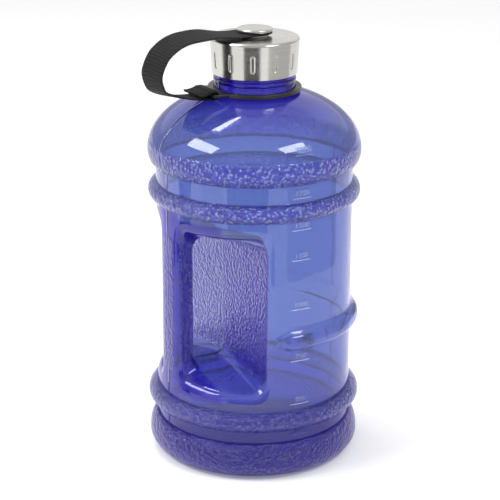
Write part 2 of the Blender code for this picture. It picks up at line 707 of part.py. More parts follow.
def build_swivel_washer(material):
    """Build the loose washer between the cap and the strap."""
    low = SWIVEL_WASHER_BOTTOM
    high = low + SWIVEL_WASHER_THICKNESS
    outer = SWIVEL_WASHER_RADIUS
    ring = [(HOLE_RADIUS, low), (outer, low), (outer, high), (HOLE_RADIUS, high)]
    return turned("swivel_washer", ring, material, SMALL_STEPS)


def cup_outline(inset, hole):
    """Return the outer line of the cap moved inward, from its lower edge to its hole."""
    edge = CAP_EDGE - inset * 0.5
    top_radius = CAP_TOP_RADIUS - inset
    top = CAP_TOP - inset
    line = [(CAP_BOTTOM_RADIUS - inset, CAP_BOTTOM + (CORE_LIFT if inset > SHELL_WALL else 0.0))]
    line += arc((top_radius - edge, top - edge), (edge, edge), 0, 90, 4)
    line.append((hole, top))
    return line


def build_cap_shell(material):
    """Build the drawn steel shell of the cap."""
    outside = cup_outline(0.0, HOLE_RADIUS)
    inside = cup_outline(SHELL_WALL, HOLE_RADIUS)
    return turned("cap_shell", outside + inside[::-1], material, TURNED_STEPS)


def build_cap_core(material):
    """Build the threaded plastic core inside the steel shell."""
    outside = cup_outline(SHELL_WALL + SHELL_GAP, HOLE_RADIUS)
    inside = [(HOLE_RADIUS, PLATE_BOTTOM), (CORE_BORE, PLATE_BOTTOM), (CORE_BORE, CAP_BOTTOM + CORE_LIFT)]
    core = turned("cap_core", outside + inside, material, TURNED_STEPS)
    crest = CORE_BORE - THREAD_DEPTH
    start = THREAD_START + THREAD_PITCH / 2
    thread = helix("core_thread", CORE_BORE, crest, THREAD_BURY, start, material)
    apply_boolean(core, thread, "UNION")
    return core


def build_seal(material):
    """Build the flat sealing ring above the mouth."""
    low, high = SEAL_TOP - SEAL_THICKNESS, SEAL_TOP
    outer = CORE_BORE - CLEARANCE
    ring = [(SEAL_INNER_RADIUS, low), (outer, low), (outer, high), (SEAL_INNER_RADIUS, high)]
    return turned("cap_seal", ring, material, TURNED_STEPS)


def build_button(material):
    """Build the button and the post that runs down through the cap."""
    bottom = BUTTON_BOTTOM
    top = bottom + BUTTON_THICKNESS
    edge = BUTTON_EDGE
    post_end = NUT_TOP - NUT_HEIGHT - POST_PAST_NUT
    profile = [(0.0, post_end), (POST_RADIUS, post_end), (POST_RADIUS, bottom)]
    profile += arc((BUTTON_RADIUS - edge, bottom + edge), (edge, edge), -90, 0, 3)
    profile += arc((BUTTON_RADIUS - edge, top - edge), (edge, edge), 0, 90, 3)
    profile.append((0.0, top))
    bm = bmesh.new()
    verts = [bm.verts.new((radius, 0, height)) for radius, height in profile]
    edges = [bm.edges.new(pair) for pair in zip(verts, verts[1:])]
    bmesh.ops.spin(
        bm, geom=verts + edges, cent=(0, 0, 0), axis=(0, 0, 1),
        angle=math.tau, steps=SMALL_STEPS, use_merge=True,
    )
    return make_object("cap_button", bm, material)


def build_nut_washer(material):
    """Build the washer that spreads the nut's load on the core."""
    high = PLATE_BOTTOM - CLEARANCE
    low = high - NUT_WASHER_THICKNESS
    ring = [(HOLE_RADIUS, low), (NUT_WASHER_RADIUS, low), (NUT_WASHER_RADIUS, high), (HOLE_RADIUS, high)]
    return turned("cap_washer", ring, material, SMALL_STEPS)


def build_nut(material):
    """Build the hexagonal nut on the post's end."""
    corner = NUT_HALF_FLATS / math.cos(math.radians(30))
    low = NUT_TOP - NUT_HEIGHT
    bm = bmesh.new()
    bmesh.ops.create_cone(
        bm, cap_ends=True, segments=6, radius1=corner, radius2=corner, depth=NUT_HEIGHT,
    )
    bmesh.ops.translate(bm, vec=(0, 0, low + NUT_HEIGHT / 2), verts=bm.verts)
    nut = make_object("cap_nut", bm, material)
    bore = rod("nut_bore", POST_RADIUS + CLEARANCE, (low - NUT_HEIGHT, NUT_TOP + NUT_HEIGHT), material)
    apply_boolean(nut, bore, "DIFFERENCE")
    return nut


def main():
    """Build every piece of the jug."""
    clear_scene()
    blue = make_material("blue_copolyester", (0.13, 0.20, 0.72), 0.15, alpha=0.6)
    black = make_material("black_polypropylene", (0.03, 0.03, 0.032), 0.5)
    webbing = make_material("black_nylon_webbing", (0.02, 0.02, 0.022), 0.8)
    steel = make_material("brushed_stainless", (0.72, 0.70, 0.66), 0.3, metallic=1.0)
    nylon = make_material("natural_nylon", (0.85, 0.84, 0.80), 0.45)
    silicone = make_material("clear_silicone", (0.80, 0.80, 0.80), 0.5)
    build_jug(blue)
    build_collar(black)
    build_strap(webbing)
    build_eyelet(steel)
    build_swivel_washer(nylon)
    build_cap_shell(steel)
    build_cap_core(black)
    build_seal(silicone)
    build_button(steel)
    build_nut_washer(steel)
    build_nut(steel)


main()
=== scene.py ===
"""Large water jug with a moulded grip, a steel screw cap and a webbing tether.

Units are metres. The jug's axis is Z, its grip is towards -X, the mould's parting
plane is the XZ plane and the litre scale faces -Y.
"""

import logging
import math
from collections.abc import Callable
from dataclasses import dataclass, field
from enum import Enum

import bmesh
import bpy
from mathutils import Matrix, Vector
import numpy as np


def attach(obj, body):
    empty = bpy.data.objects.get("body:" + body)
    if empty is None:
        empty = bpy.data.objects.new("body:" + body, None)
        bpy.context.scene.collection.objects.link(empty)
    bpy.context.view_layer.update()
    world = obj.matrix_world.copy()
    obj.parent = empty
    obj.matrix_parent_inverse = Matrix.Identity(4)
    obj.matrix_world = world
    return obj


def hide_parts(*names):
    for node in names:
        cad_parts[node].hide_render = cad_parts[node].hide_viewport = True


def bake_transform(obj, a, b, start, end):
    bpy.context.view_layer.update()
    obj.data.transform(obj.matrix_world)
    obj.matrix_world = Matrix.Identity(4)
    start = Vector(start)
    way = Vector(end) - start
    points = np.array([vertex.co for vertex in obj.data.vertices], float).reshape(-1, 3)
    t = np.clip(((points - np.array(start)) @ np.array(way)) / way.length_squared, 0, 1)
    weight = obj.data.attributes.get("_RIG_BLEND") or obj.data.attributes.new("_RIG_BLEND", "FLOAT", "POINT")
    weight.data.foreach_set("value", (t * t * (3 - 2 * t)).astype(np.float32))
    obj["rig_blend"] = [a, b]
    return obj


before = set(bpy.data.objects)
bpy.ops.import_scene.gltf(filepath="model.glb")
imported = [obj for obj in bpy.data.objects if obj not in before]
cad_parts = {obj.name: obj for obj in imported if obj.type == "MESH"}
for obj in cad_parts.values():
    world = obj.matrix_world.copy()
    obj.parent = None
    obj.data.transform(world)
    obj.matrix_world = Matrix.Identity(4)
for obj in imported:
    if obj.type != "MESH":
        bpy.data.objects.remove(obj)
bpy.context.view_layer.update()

LOG = logging.getLogger("water_jug")
Point = tuple[float, float]
WELD = 1e-6
NEAR = 1e-5
LEAST_ROUNDING = 1e-5
UV_PER_METRE = 10.0
THREAD_STEP = 0.00026
# The zone mark holds the mould's finish; the thick mark holds painted shade on the grip and the recess walls.
MARKS = ("zone", "thick")


class Zone(Enum):
    """How the mould's surface is finished."""

    GLOSS = 0.0
    PEBBLE = 1.0


# ---------------------------------------------------------------- shader helpers

VALUE = "NodeSocketFloat"
VECTOR = "NodeSocketVector"
Colour = tuple[float, float, float]
Links = dict[str | int, object]
Socket = bpy.types.NodeSocket


class Nodes:
    """A node tree with short ways to add and link nodes."""

    def __init__(self, tree: bpy.types.NodeTree) -> None:
        """Wrap a tree."""
        self.tree = tree

    def plug(self, socket: Socket, value: object) -> None:
        """Link a socket to an input, or put a constant on it.

        Args:
            socket: The input.
            value: An output socket or a constant.
        """
        if isinstance(value, Socket):
            self.tree.links.new(value, socket)
        elif isinstance(value, tuple) and len(value) == 3 and socket.type == "RGBA":
            socket.default_value = (*value, 1.0)
        else:
            socket.default_value = value

    def node(self, kind: str, links: Links | None = None, **settings: object) -> bpy.types.Node:
        """Add a node.

        Args:
            kind: The node's type name, after "ShaderNode".
            links: Input names or places with the socket or the constant each one takes.
            settings: Properties of the node.

        Returns:
            The new node.
        """
        node = self.tree.nodes.new("ShaderNode" + kind)
        for name, value in settings.items():
            setattr(node, name, value)
        for name, value in (links or {}).items():
            self.plug(node.inputs[name], value)
        return node

    def math(self, operation: str, *values: object, clamp: bool = False) -> Socket:
        """Return a Math node's result, kept from 0 to 1 if asked, with its inputs in order."""
        return self.node("Math", dict(enumerate(values)), operation=operation, use_clamp=clamp).outputs[0]

    def scaled(self, value: object, factor: float, offset: object = 0.0) -> Socket:
        """Return a value multiplied by a factor, plus an offset."""
        return self.math("MULTIPLY_ADD", value, factor, offset)

    def ramp(self, value: Socket, span: Point, target: Point = (0.0, 1.0), curve: str = "SMOOTHSTEP") -> Socket:
        """Return a value taken from one span to another, and held at its ends.

        Args:
            value: The value.
            span: Where it starts and ends.
            target: What those two become.
            curve: How it runs between them.

        Returns:
            The result's socket.
        """
        names = ("From Min", "From Max", "To Min", "To Max")
        links = {"Value": value, **dict(zip(names, (*span, *target)))}
        return self.node("MapRange", links, interpolation_type=curve).outputs[0]

    def noise(self, place: Socket, scale: object, detail: float, **more: float) -> bpy.types.Node:
        """Return a noise texture at a place."""
        return self.node("TexNoise", {"Vector": place, "Scale": scale, "Detail": detail, **more})

    def mix(self, factor: Socket, first: object, second: object) -> Socket:
        """Return a colour between two."""
        return self.node("Mix", {"Factor": factor, 6: first, 7: second}, data_type="RGBA").outputs[2]

    def bump(self, height: Socket) -> Socket:
        """Return the normal of a surface whose height is in metres."""
        return self.node("Bump", {"Strength": 1.0, "Distance": 1.0, "Height": height}).outputs[0]

    def parts(self, vector: Socket) -> bpy.types.NodeOutputs:
        """Return the X, Y and Z outputs of a vector."""
        return self.node("SeparateXYZ", {"Vector": vector}).outputs

    def effect(self, group: bpy.types.NodeTree, **inputs: object) -> bpy.types.NodeOutputs:
        """Place a shared group.

        Args:
            group: The group.
            inputs: The value or the socket for each input, with its spaces as underscores.

        Returns:
            The group's outputs.
        """
        node = self.node("Group", node_tree=group)
        for name, value in inputs.items():
            self.plug(node.inputs[name.replace("_", " ")], value)
        return node.outputs


class Shader(Nodes):
    """A material's node tree round one Principled shader."""

    def __init__(self, name: str) -> None:
        """Start a material.

        Args:
            name: The material's name.
        """
        self.material = bpy.data.materials.new(name)
        self.material.use_nodes = True
        super().__init__(self.material.node_tree)
        self.surface = self.tree.nodes["Principled BSDF"]

    def place(self) -> Socket:
        """Return the object coordinates."""
        return self.node("TexCoord").outputs["Object"]

    def set(self, **values: object) -> bpy.types.Material:
        """Put constants or sockets on the Principled shader.

        Args:
            values: The value or the socket for each input, with its spaces as underscores.

        Returns:
            The material.
        """
        for name, value in values.items():
            self.plug(self.surface.inputs[name.replace("_", " ")], value)
        return self.material


class Effect(Nodes):
    """A shared shader node group."""

    def __init__(self, name: str, inputs: dict[str, float], outputs: tuple[str, ...]) -> None:
        """Start a group that takes a Vector and some values, and gives values.

        Args:
            name: The group's name.
            inputs: The default of each value by name.
            outputs: The names of the values that it gives.
        """
        super().__init__(bpy.data.node_groups.new(name, "ShaderNodeTree"))
        self.tree.interface.new_socket(name="Vector", in_out="INPUT", socket_type=VECTOR)
        for label, default in inputs.items():
            socket = self.tree.interface.new_socket(name=label, in_out="INPUT", socket_type=VALUE)
            socket.default_value = default
        for label in outputs:
            self.tree.interface.new_socket(name=label, in_out="OUTPUT", socket_type=VALUE)
        self.source = self.tree.nodes.new("NodeGroupInput").outputs
        self.target = self.tree.nodes.new("NodeGroupOutput").inputs

    def give(self, **values: Socket) -> bpy.types.NodeTree:
        """Link the outputs.

        Args:
            values: The socket for each output.

        Returns:
            The finished group.
        """
        for name, value in values.items():
            self.plug(self.target[name], value)
        return self.tree


def pebble_group() -> bpy.types.NodeTree:
    """Build the leather-like pebble of the mould's grip zones.

    Returns:
        A group that gives Height and Glint, the pebble's height that places the painted glints on its crests
        and the painted shade in its valleys.
    """
    group = Effect("moulded_pebble", {"Scale": 900.0, "Mask": 1.0}, ("Height", "Fleck"))
    vector, scale, mask = (group.source[name] for name in ("Vector", "Scale", "Mask"))
    bend = group.noise(vector, 520.0, 2.0).outputs["Color"]
    shift = group.node("VectorMath", {0: bend, 1: (0.0010, 0.0010, 0.0010)}, operation="MULTIPLY").outputs[0]
    place = group.node("VectorMath", {0: vector, 1: shift}, operation="ADD").outputs[0]
    cells = group.node(
        "TexVoronoi", {"Vector": place, "Scale": scale, "Smoothness": 0.45, "Randomness": 1.0},
        feature="SMOOTH_F1",
    )
    dome = group.scaled(cells.outputs["Distance"], -1.5, 1.0)
    grain = group.scaled(group.noise(vector, 1900.0, 3.0).outputs["Fac"], 0.5)
    total = group.math("ADD", dome, grain)
    # Glint is the pebble's height: the plastic paints glints on its crests and shade in its valleys from it.
    return group.give(Height=group.math("MULTIPLY", total, mask), Fleck=group.math("MULTIPLY", dome, mask))


def handling_group() -> bpy.types.NodeTree:
    """Build the faint marks of handling: smears and fine scratches.

    Returns:
        A group that gives Smear and Scratch.
    """
    group = Effect("handling_marks", {"Smear Size": 26.0, "Scratch Size": 300.0}, ("Smear", "Scratch"))
    vector = group.source["Vector"]
    smear = group.noise(vector, group.source["Smear Size"], 6.0, Roughness=0.6, Distortion=0.8).outputs["Fac"]
    turned = group.node("Mapping", {"Vector": vector, "Rotation": (0.4, 0.9, 0.3), "Scale": (1.0, 0.06, 1.0)})
    lines = group.noise(turned.outputs[0], group.source["Scratch Size"], 2.0, Distortion=0.5).outputs["Fac"]
    scratch = group.ramp(lines, (0.66, 0.72), curve="LINEAR")
    return group.give(Smear=group.ramp(smear, (0.42, 0.74)), Scratch=scratch)


def lathe_group() -> bpy.types.NodeTree:
    """Build the fine rings that brushing on a lathe leaves.

    Returns:
        A group that gives Height and Streak.
    """
    group = Effect("lathe_brushing", {"Fineness": 2600.0}, ("Height", "Streak"))
    parts = group.parts(group.source["Vector"])
    flat = group.node("CombineXYZ", {"X": parts["X"], "Y": parts["Y"], "Z": 0.0}).outputs[0]
    away = group.node("VectorMath", {0: flat}, operation="LENGTH").outputs["Value"]
    turn = group.math("ARCTAN2", parts["Y"], parts["X"])
    place = group.node(
        "CombineXYZ", {"X": group.math("ADD", away, parts["Z"]), "Y": group.scaled(turn, 0.0011), "Z": 0.0},
    ).outputs[0]
    fine = group.noise(place, group.source["Fineness"], 4.0)
    return group.give(Height=fine.outputs["Fac"], Streak=group.noise(place, 700.0, 2.0).outputs["Fac"])


def grain_group() -> bpy.types.NodeTree:
    """Build the fine spark-eroded grain of a moulded plastic part.

    Returns:
        A group that gives Height and Tone.
    """
    group = Effect("moulded_grain", {"Scale": 3200.0}, ("Height", "Tone"))
    vector = group.source["Vector"]
    fine = group.noise(vector, group.source["Scale"], 3.0)
    return group.give(Height=fine.outputs["Fac"], Tone=group.noise(vector, 90.0, 5.0).outputs["Fac"])


class Effects:
    """The shared shader node groups, built once."""

    def __init__(self) -> None:
        """Build every group."""
        self.pebble = pebble_group()
        self.handling = handling_group()
        self.lathe = lathe_group()
        self.grain = grain_group()


# ---------------------------------------------------------------- finishes


@dataclass(frozen=True)
class TintedPlastic:
    """Clear tinted copolyester, glossy with pebbled zones."""

    name: str
    tint: Colour = (0.29, 0.37, 0.70)
    # The deep colour is the tint of thick plastic and also the colour of painted shade.
    deep: Colour = (0.075, 0.032, 0.60)
    # Painted glint colour for the pebble's crests.
    glint: Colour = (0.80, 0.90, 1.0)
    index: float = 1.50
    gloss: float = 0.03
    clear_share: float = 0.88
    swell_height: float = 0.0005
    pebble_roughness: float = 0.045
    pebble_scale: float = 500.0
    pebble_height: float = 0.00066
    # Painted glints on the pebble's crests and painted shade in its valleys; the glints are held back where the
    # tint is deep.
    glint_span: Point = (0.44, 0.62)
    glint_share: float = 0.97
    valley_shade_span: Point = (0.46, 0.26)
    valley_shade_share: float = 0.80
    veil: float = 0.72
    seam_half_width: float = 0.0011
    seam_height: float = 0.00050
    thick_below: Point = (0.062, 0.018)
    thick_above: Point = (0.212, 0.242)
    thick_share: float = 0.95
    # Painted shade where the wall is seen edge on.
    edge_blend: float = 0.35
    edge_power: float = 1.7
    edge_shade_share: float = 0.95
    smear_share: float = 0.03
    scratch_share: float = 0.05

    def build(self, effects: Effects) -> bpy.types.Material:
        """Return the plastic's material."""
        shader = Shader(self.name)
        where = shader.place()
        moulded = shader.node("Attribute", attribute_name="zone").outputs["Fac"]
        seam = self.seam(shader, where)
        zone = shader.math("MULTIPLY", moulded, shader.scaled(seam, -1.0, 1.0))
        pebble = shader.effect(effects.pebble, Vector=where, Scale=self.pebble_scale, Mask=zone)
        marks = shader.effect(effects.handling, Vector=where)
        swell = shader.scaled(shader.noise(where, 34.0, 2.0).outputs["Fac"], self.swell_height)
        relief = shader.scaled(pebble["Height"], self.pebble_height)
        height = shader.scaled(seam, self.seam_height, shader.math("ADD", swell, relief))
        rough = shader.ramp(zone, (0.0, 1.0), (self.gloss, self.pebble_roughness), "LINEAR")
        smeared = shader.scaled(marks["Smear"], self.smear_share, rough)
        # The base colour carries painted glints and painted shade.
        return shader.set(
            Base_Color=self.glints_and_shade(shader, pebble["Fleck"], zone, self.depth(shader, where)),
            Roughness=shader.scaled(marks["Scratch"], self.scratch_share, smeared), Normal=shader.bump(height),
            IOR=self.index, Transmission_Weight=self.clear_share, Metallic=0.0,
        )

    def glints_and_shade(self, shader: Shader, glint: Socket, zone: Socket, depth: Socket) -> Socket:
        """Return the tint, deeper where it is thick and where shade is painted, with painted glints on the
        pebble's crests and painted shade in its valleys.

        Args:
            shader: The material to build it in.
            glint: The pebble's height, from 0 to 1, which places the painted glints and the painted valley
                shade.
            zone: The mask of the pebbled places.
            depth: The mask of the thick places and of the painted shade.

        Returns:
            The colour's socket.
        """
        # Painted shade: the pebble's valleys and the depth mask darken the tint.
        low = shader.math("MULTIPLY", shader.ramp(glint, self.valley_shade_span, (0.0, self.valley_shade_share)), zone)
        # Painted glints: the pebble's crests are lightened towards the glint colour.
        high = shader.math("MULTIPLY", shader.ramp(glint, self.glint_span, (0.0, self.glint_share)), zone)
        shaded_tint = shader.mix(shader.math("MAXIMUM", low, depth), self.tint, self.deep)
        veiled = shader.math("MULTIPLY", high, shader.scaled(depth, -self.veil, 1.0), clamp=True)
        return shader.mix(veiled, shaded_tint, self.glint)

    def seam(self, shader: Shader, where: Socket) -> Socket:
        """Return the mask of the smooth seam that the mould leaves on its parting plane.

        Args:
            shader: The material to build it in.
            where: The object coordinates.

        Returns:
            The mask's socket.
        """
        off = shader.math("ABSOLUTE", shader.parts(where)["Y"])
        return shader.ramp(off, (0.0, self.seam_half_width), (1.0, 0.0))

    def depth(self, shader: Shader, where: Socket) -> Socket:
        """Return how deep the tint is: more at the thick foot and neck, with painted shade on the grip and the
        recess walls and where the wall is seen edge on.

        Args:
            shader: The material to build it in.
            where: The object coordinates.

        Returns:
            The mask's socket.
        """
        height = shader.parts(where)["Z"]
        foot, neck = (shader.ramp(height, span) for span in (self.thick_below, self.thick_above))
        ends = shader.math("MAXIMUM", foot, neck)
        # The thick mark is painted shade on the grip and the recess walls; the wall there is no thicker.
        moulded = shader.node("Attribute", attribute_name="thick").outputs["Fac"]
        thick = shader.math("MAXIMUM", shader.scaled(ends, self.thick_share), moulded)
        # Painted shade: the tint deepens where the wall is seen edge on.
        edge = shader.node("LayerWeight", {"Blend": self.edge_blend}).outputs["Facing"]
        return shader.scaled(shader.math("POWER", edge, self.edge_power), self.edge_shade_share, thick)


@dataclass(frozen=True)
class MouldedPlastic:
    """Opaque moulded plastic with a fine grain."""

    name: str
    colour: Colour
    roughness: float = 0.42
    grain_height: float = 0.00002
    scatter: float = 0.0
    scatter_depth: float = 0.002
    index: float = 1.49
    scratch_size: float = 700.0
    scratch_share: float = 0.15

    def build(self, effects: Effects) -> bpy.types.Material:
        """Return the plastic's material."""
        shader = Shader(self.name)
        where = shader.place()
        grain = shader.effect(effects.grain, Vector=where)
        marks = shader.effect(effects.handling, Vector=where, Scratch_Size=self.scratch_size)
        lighter = tuple(min(c * 1.5 + 0.01, 1.0) for c in self.colour)
        rough = shader.scaled(grain["Tone"], 0.2, self.roughness - 0.1)
        return shader.set(
            Base_Color=shader.mix(shader.scaled(grain["Tone"], 0.7), self.colour, lighter),
            Roughness=shader.scaled(marks["Scratch"], self.scratch_share, rough),
            Normal=shader.bump(shader.scaled(grain["Height"], self.grain_height)),
            IOR=self.index, Subsurface_Weight=self.scatter, Subsurface_Scale=self.scatter_depth,
        )


@dataclass(frozen=True)
class TurnedSteel:
    """Stainless steel brushed on a lathe, or polished."""

    name: str
    colour: Colour = (0.60, 0.585, 0.55)
    roughness: float = 0.22
    grain_height: float = 0.000006
    stretch: float = 0.6
    turned: float = 0.25
    dark_share: float = 0.86
    light_share: float = 1.08
    smear_size: float = 60.0
    smear_share: float = 0.06

    def build(self, effects: Effects) -> bpy.types.Material:
        """Return the steel's material."""
        shader = Shader(self.name)
        where = shader.place()
        lathe = shader.effect(effects.lathe, Vector=where)
        marks = shader.effect(effects.handling, Vector=where, Smear_Size=self.smear_size)
        shares = (self.dark_share, self.light_share)
        dull, bright = (tuple(min(c * share, 1.0) for c in self.colour) for share in shares)
        rough = shader.scaled(lathe["Streak"], 0.12, self.roughness - 0.06)
        return shader.set(
            Base_Color=shader.mix(lathe["Streak"], dull, bright),
            Roughness=shader.scaled(marks["Smear"], self.smear_share, rough),
            Normal=shader.bump(shader.scaled(lathe["Height"], self.grain_height)),
            Metallic=1.0, Anisotropic=self.stretch, Anisotropic_Rotation=self.turned,
            Tangent=shader.node("Tangent", direction_type="UV_MAP", uv_map="UVMap").outputs[0],
        )


@dataclass(frozen=True)
class Webbing:
    """Black nylon webbing whose pattern follows the strap's own UV map in metres."""

    colour: Colour = (0.004, 0.004, 0.0045)
    # Painted sheen: a lighter colour on the crests of the ribs and yarns, mixed with a random fibre tone.
    sheen_and_fibre_tone: Colour = (0.026, 0.026, 0.028)
    rib_pitch: float = 0.0020
    yarn_pitch: float = 0.0009
    yarn_height: float = 0.00040
    fibre_scale: float = 5200.0
    fibre_share: float = 0.35
    sheen: float = 0.22

    def build(self) -> bpy.types.Material:
        """Return the webbing's material."""
        shader = Shader("nylon_webbing")
        uv = shader.node("UVMap", uv_map="UVMap").outputs["UV"]
        parts = shader.parts(uv)
        along = self.wave(shader, parts["X"], self.rib_pitch)
        across = self.wave(shader, parts["Y"], self.yarn_pitch)
        fibre = shader.noise(uv, self.fibre_scale, 3.0, Roughness=0.7).outputs["Fac"]
        yarn = shader.scaled(fibre, self.fibre_share, shader.math("MULTIPLY", along, across))
        # Base colour: painted sheen on the crests of the ribs and yarns, with a random fibre tone.
        return shader.set(
            Base_Color=shader.mix(shader.scaled(yarn, 0.75, -0.1), self.colour, self.sheen_and_fibre_tone),
            Roughness=shader.scaled(fibre, 0.25, 0.48),
            Normal=shader.bump(shader.scaled(yarn, self.yarn_height)), Specular_IOR_Level=self.sheen,
        )

    def wave(self, shader: Shader, value: Socket, pitch: float) -> Socket:
        """Return a wave from 0 to 1 with one crest in each pitch.

        Args:
            shader: The material to build it in.
            value: The place along the wave, in metres.
            pitch: The distance between crests.

        Returns:
            The wave's socket.
        """
        cosine = shader.math("COSINE", shader.scaled(value, math.tau / pitch))
        return shader.scaled(cosine, 0.5, 0.5)


@dataclass(frozen=True)
class FloorFinish:
    """Pale seamless studio paper."""

    colour: Colour = (0.93, 0.93, 0.935)
    light: Colour = (0.95, 0.95, 0.95)
    glow: float = 0.16

    def build(self, effects: Effects) -> bpy.types.Material:
        """Return the floor's material."""
        shader = Shader("studio_paper")
        grain = shader.effect(effects.grain, Vector=shader.place())
        return shader.set(
            Base_Color=shader.mix(shader.scaled(grain["Tone"], 0.3), self.colour, self.light),
            Roughness=0.9, Specular_IOR_Level=0.1,
            Emission_Color=(1.0, 1.0, 1.0), Emission_Strength=self.glow,
        )


class Finishes:
    """Every material of the jug, built once."""

    def __init__(self) -> None:
        """Build the materials and their shared groups."""
        effects = Effects()
        self.plastic = TintedPlastic("tinted_copolyester").build(effects)
        self.scale = TintedPlastic("raised_scale", tint=(0.70, 0.78, 1.0), gloss=0.06).build(effects)
        self.black = MouldedPlastic("black_polypropylene", (0.010, 0.010, 0.011), 0.33).build(effects)
        self.steel = TurnedSteel("brushed_steel").build(effects)
        self.satin = TurnedSteel("satin_steel", (0.60, 0.585, 0.55), 0.30, 0.000004, 0.4).build(effects)
        self.plated = TurnedSteel("plated_steel", (0.62, 0.62, 0.60), 0.22, 0.000003, 0.2).build(effects)
        self.nylon = MouldedPlastic("natural_nylon", (0.72, 0.70, 0.64), 0.45, scatter=0.3).build(effects)
        self.silicone = MouldedPlastic("clear_silicone", (0.74, 0.74, 0.72), 0.5, scatter=0.5).build(effects)
        self.webbing = Webbing().build()
        self.thread = MouldedPlastic("black_thread", (0.012, 0.012, 0.013), 0.6).build(effects)
        self.paper = FloorFinish().build(effects)


# ---------------------------------------------------------------- mesh helpers


def arc(centre: Point, radii: Point, start_deg: float, end_deg: float, steps: int) -> list[Point]:
    """Return points on an elliptical arc in the profile plane.

    Args:
        centre: The ellipse's centre as (radius, height).
        radii: Its half axes.
        start_deg: Where the arc starts.
        end_deg: Where it ends.
        steps: How many pieces it is cut in.

    Returns:
        The points, both ends included.
    """
    points = []
    for step in range(steps + 1):
        angle = math.radians(start_deg + (end_deg - start_deg) * step / steps)
        points.append((centre[0] + radii[0] * math.cos(angle), centre[1] + radii[1] * math.sin(angle)))
    return points


def spread(start: float, end: float, pitch: float) -> list[float]:
    """Return evenly spaced values between two, the second left out.

    Args:
        start: The first value.
        end: The last value.
        pitch: The largest step.

    Returns:
        The values.
    """
    count = max(1, math.ceil(abs(end - start) / pitch))
    return [start + (end - start) * step / count for step in range(count)]


def spin_profile(bm: bmesh.types.BMesh, profile: list[Point], steps: int, closed: bool) -> None:
    """Spin a profile of (radius, height) points about Z, starting in the grip's plane.

    Args:
        bm: The mesh to add to.
        profile: The points.
        steps: The pieces in a turn.
        closed: Whether the last point is joined to the first.
    """
    verts = [bm.verts.new((-radius, 0.0, height)) for radius, height in profile]
    pairs = list(zip(verts, verts[1:]))
    if closed:
        pairs.append((verts[-1], verts[0]))
    edges = [bm.edges.new(pair) for pair in pairs]
    bmesh.ops.spin(
        bm, geom=verts + edges, cent=(0, 0, 0), axis=(0, 0, 1), angle=math.tau, steps=steps, use_merge=True,
    )
    bmesh.ops.remove_doubles(bm, verts=bm.verts, dist=WELD)


def eased(share: float) -> float:
    """Return a share from 0 to 1 with soft ends."""
    held = min(max(share, 0.0), 1.0)
    return held * held * (3 - 2 * held)


def circle(radius: float, count: int) -> list[Point]:
    """Return points on a circle about the axis."""
    angles = [math.tau * i / count for i in range(count)]
    return [(radius * math.cos(angle), radius * math.sin(angle)) for angle in angles]


def fill_plate(bm: bmesh.types.BMesh, loops: list[list[Point]], height: float) -> None:
    """Fill the space between level loops with faces.

    Args:
        bm: The mesh to add to.
        loops: The outer line and the holes.
        height: Their height.
    """
    edges = []
    for loop in loops:
        verts = [bm.verts.new((x, y, height)) for x, y in loop]
        edges += [bm.edges.new(pair) for pair in zip(verts, verts[1:] + verts[:1])]
    bmesh.ops.triangle_fill(bm, edges=edges, use_beauty=True, use_dissolve=False)


def parted(made: list) -> tuple[list[bmesh.types.BMVert], list[bmesh.types.BMEdge]]:
    """Return the vertices and the edges of what an operator made."""
    verts = [item for item in made if isinstance(item, bmesh.types.BMVert)]
    return verts, [item for item in made if isinstance(item, bmesh.types.BMEdge)]


def ring_profile(inner: float, outer: float, low: float, high: float) -> list[Point]:
    """Return the rectangle of a plain ring.

    Args:
        inner: Its inner radius.
        outer: Its outer radius.
        low: Its lowest height.
        high: Its highest height.

    Returns:
        The four corners.
    """
    return [(inner, low), (outer, low), (outer, high), (inner, high)]


def thicken(bm: bmesh.types.BMesh, faces: list[bmesh.types.BMFace], height: float) -> list[bmesh.types.BMVert]:
    """Extrude faces straight up.

    Args:
        bm: The mesh.
        faces: The faces.
        height: How far.

    Returns:
        The upper vertices.
    """
    top, _ = parted(bmesh.ops.extrude_face_region(bm, geom=faces)["geom"])
    bmesh.ops.translate(bm, vec=(0, 0, height), verts=top)
    return top


def bevel_edges(
    bm: bmesh.types.BMesh, sharp_deg: float, offset: float, segments: int, level_only: bool
) -> None:
    """Bevel the sharp edges of a plate.

    Args:
        bm: The mesh.
        sharp_deg: The angle above which an edge is sharp.
        offset: The bevel's size.
        segments: Its pieces.
        level_only: Whether upright edges are left as they are.
    """
    rims = [e for e in bm.edges if len(e.link_faces) == 2 and e.calc_face_angle() > math.radians(sharp_deg)]
    if level_only:
        rims = [e for e in rims if abs(e.verts[0].co.z - e.verts[1].co.z) < WELD]
    bmesh.ops.bevel(
        bm, geom=rims, offset=offset, segments=segments, profile=0.5, affect="EDGES", material=-1,
        clamp_overlap=True,
    )


def move_out(vert: bmesh.types.BMVert, distance: float) -> None:
    """Move a vertex away from the axis by a distance."""
    away = math.hypot(vert.co.x, vert.co.y)
    share = (away + distance) / away
    vert.co.x *= share
    vert.co.y *= share


def round_corners(profile: list[Point], radius: float, segments: int = 3) -> list[Point]:
    """Round the corners of a closed profile.

    Args:
        profile: The corners.
        radius: The rounding's size.
        segments: The pieces in each rounding.

    Returns:
        The points of the rounded profile.
    """
    result = []
    count = len(profile)
    for i, here in enumerate(profile):
        here_v = Vector(here)
        before = Vector(profile[i - 1]) - here_v
        after = Vector(profile[(i + 1) % count]) - here_v
        size = min(radius, before.length * 0.45, after.length * 0.45)
        if size < LEAST_ROUNDING or here[0] < WELD:
            result.append(here)
            continue
        start = here_v + before.normalized() * size
        end = here_v + after.normalized() * size
        for step in range(segments + 1):
            t = step / segments
            point = start.lerp(here_v, t).lerp(here_v.lerp(end, t), t)
            result.append((point.x, point.y))
    return result


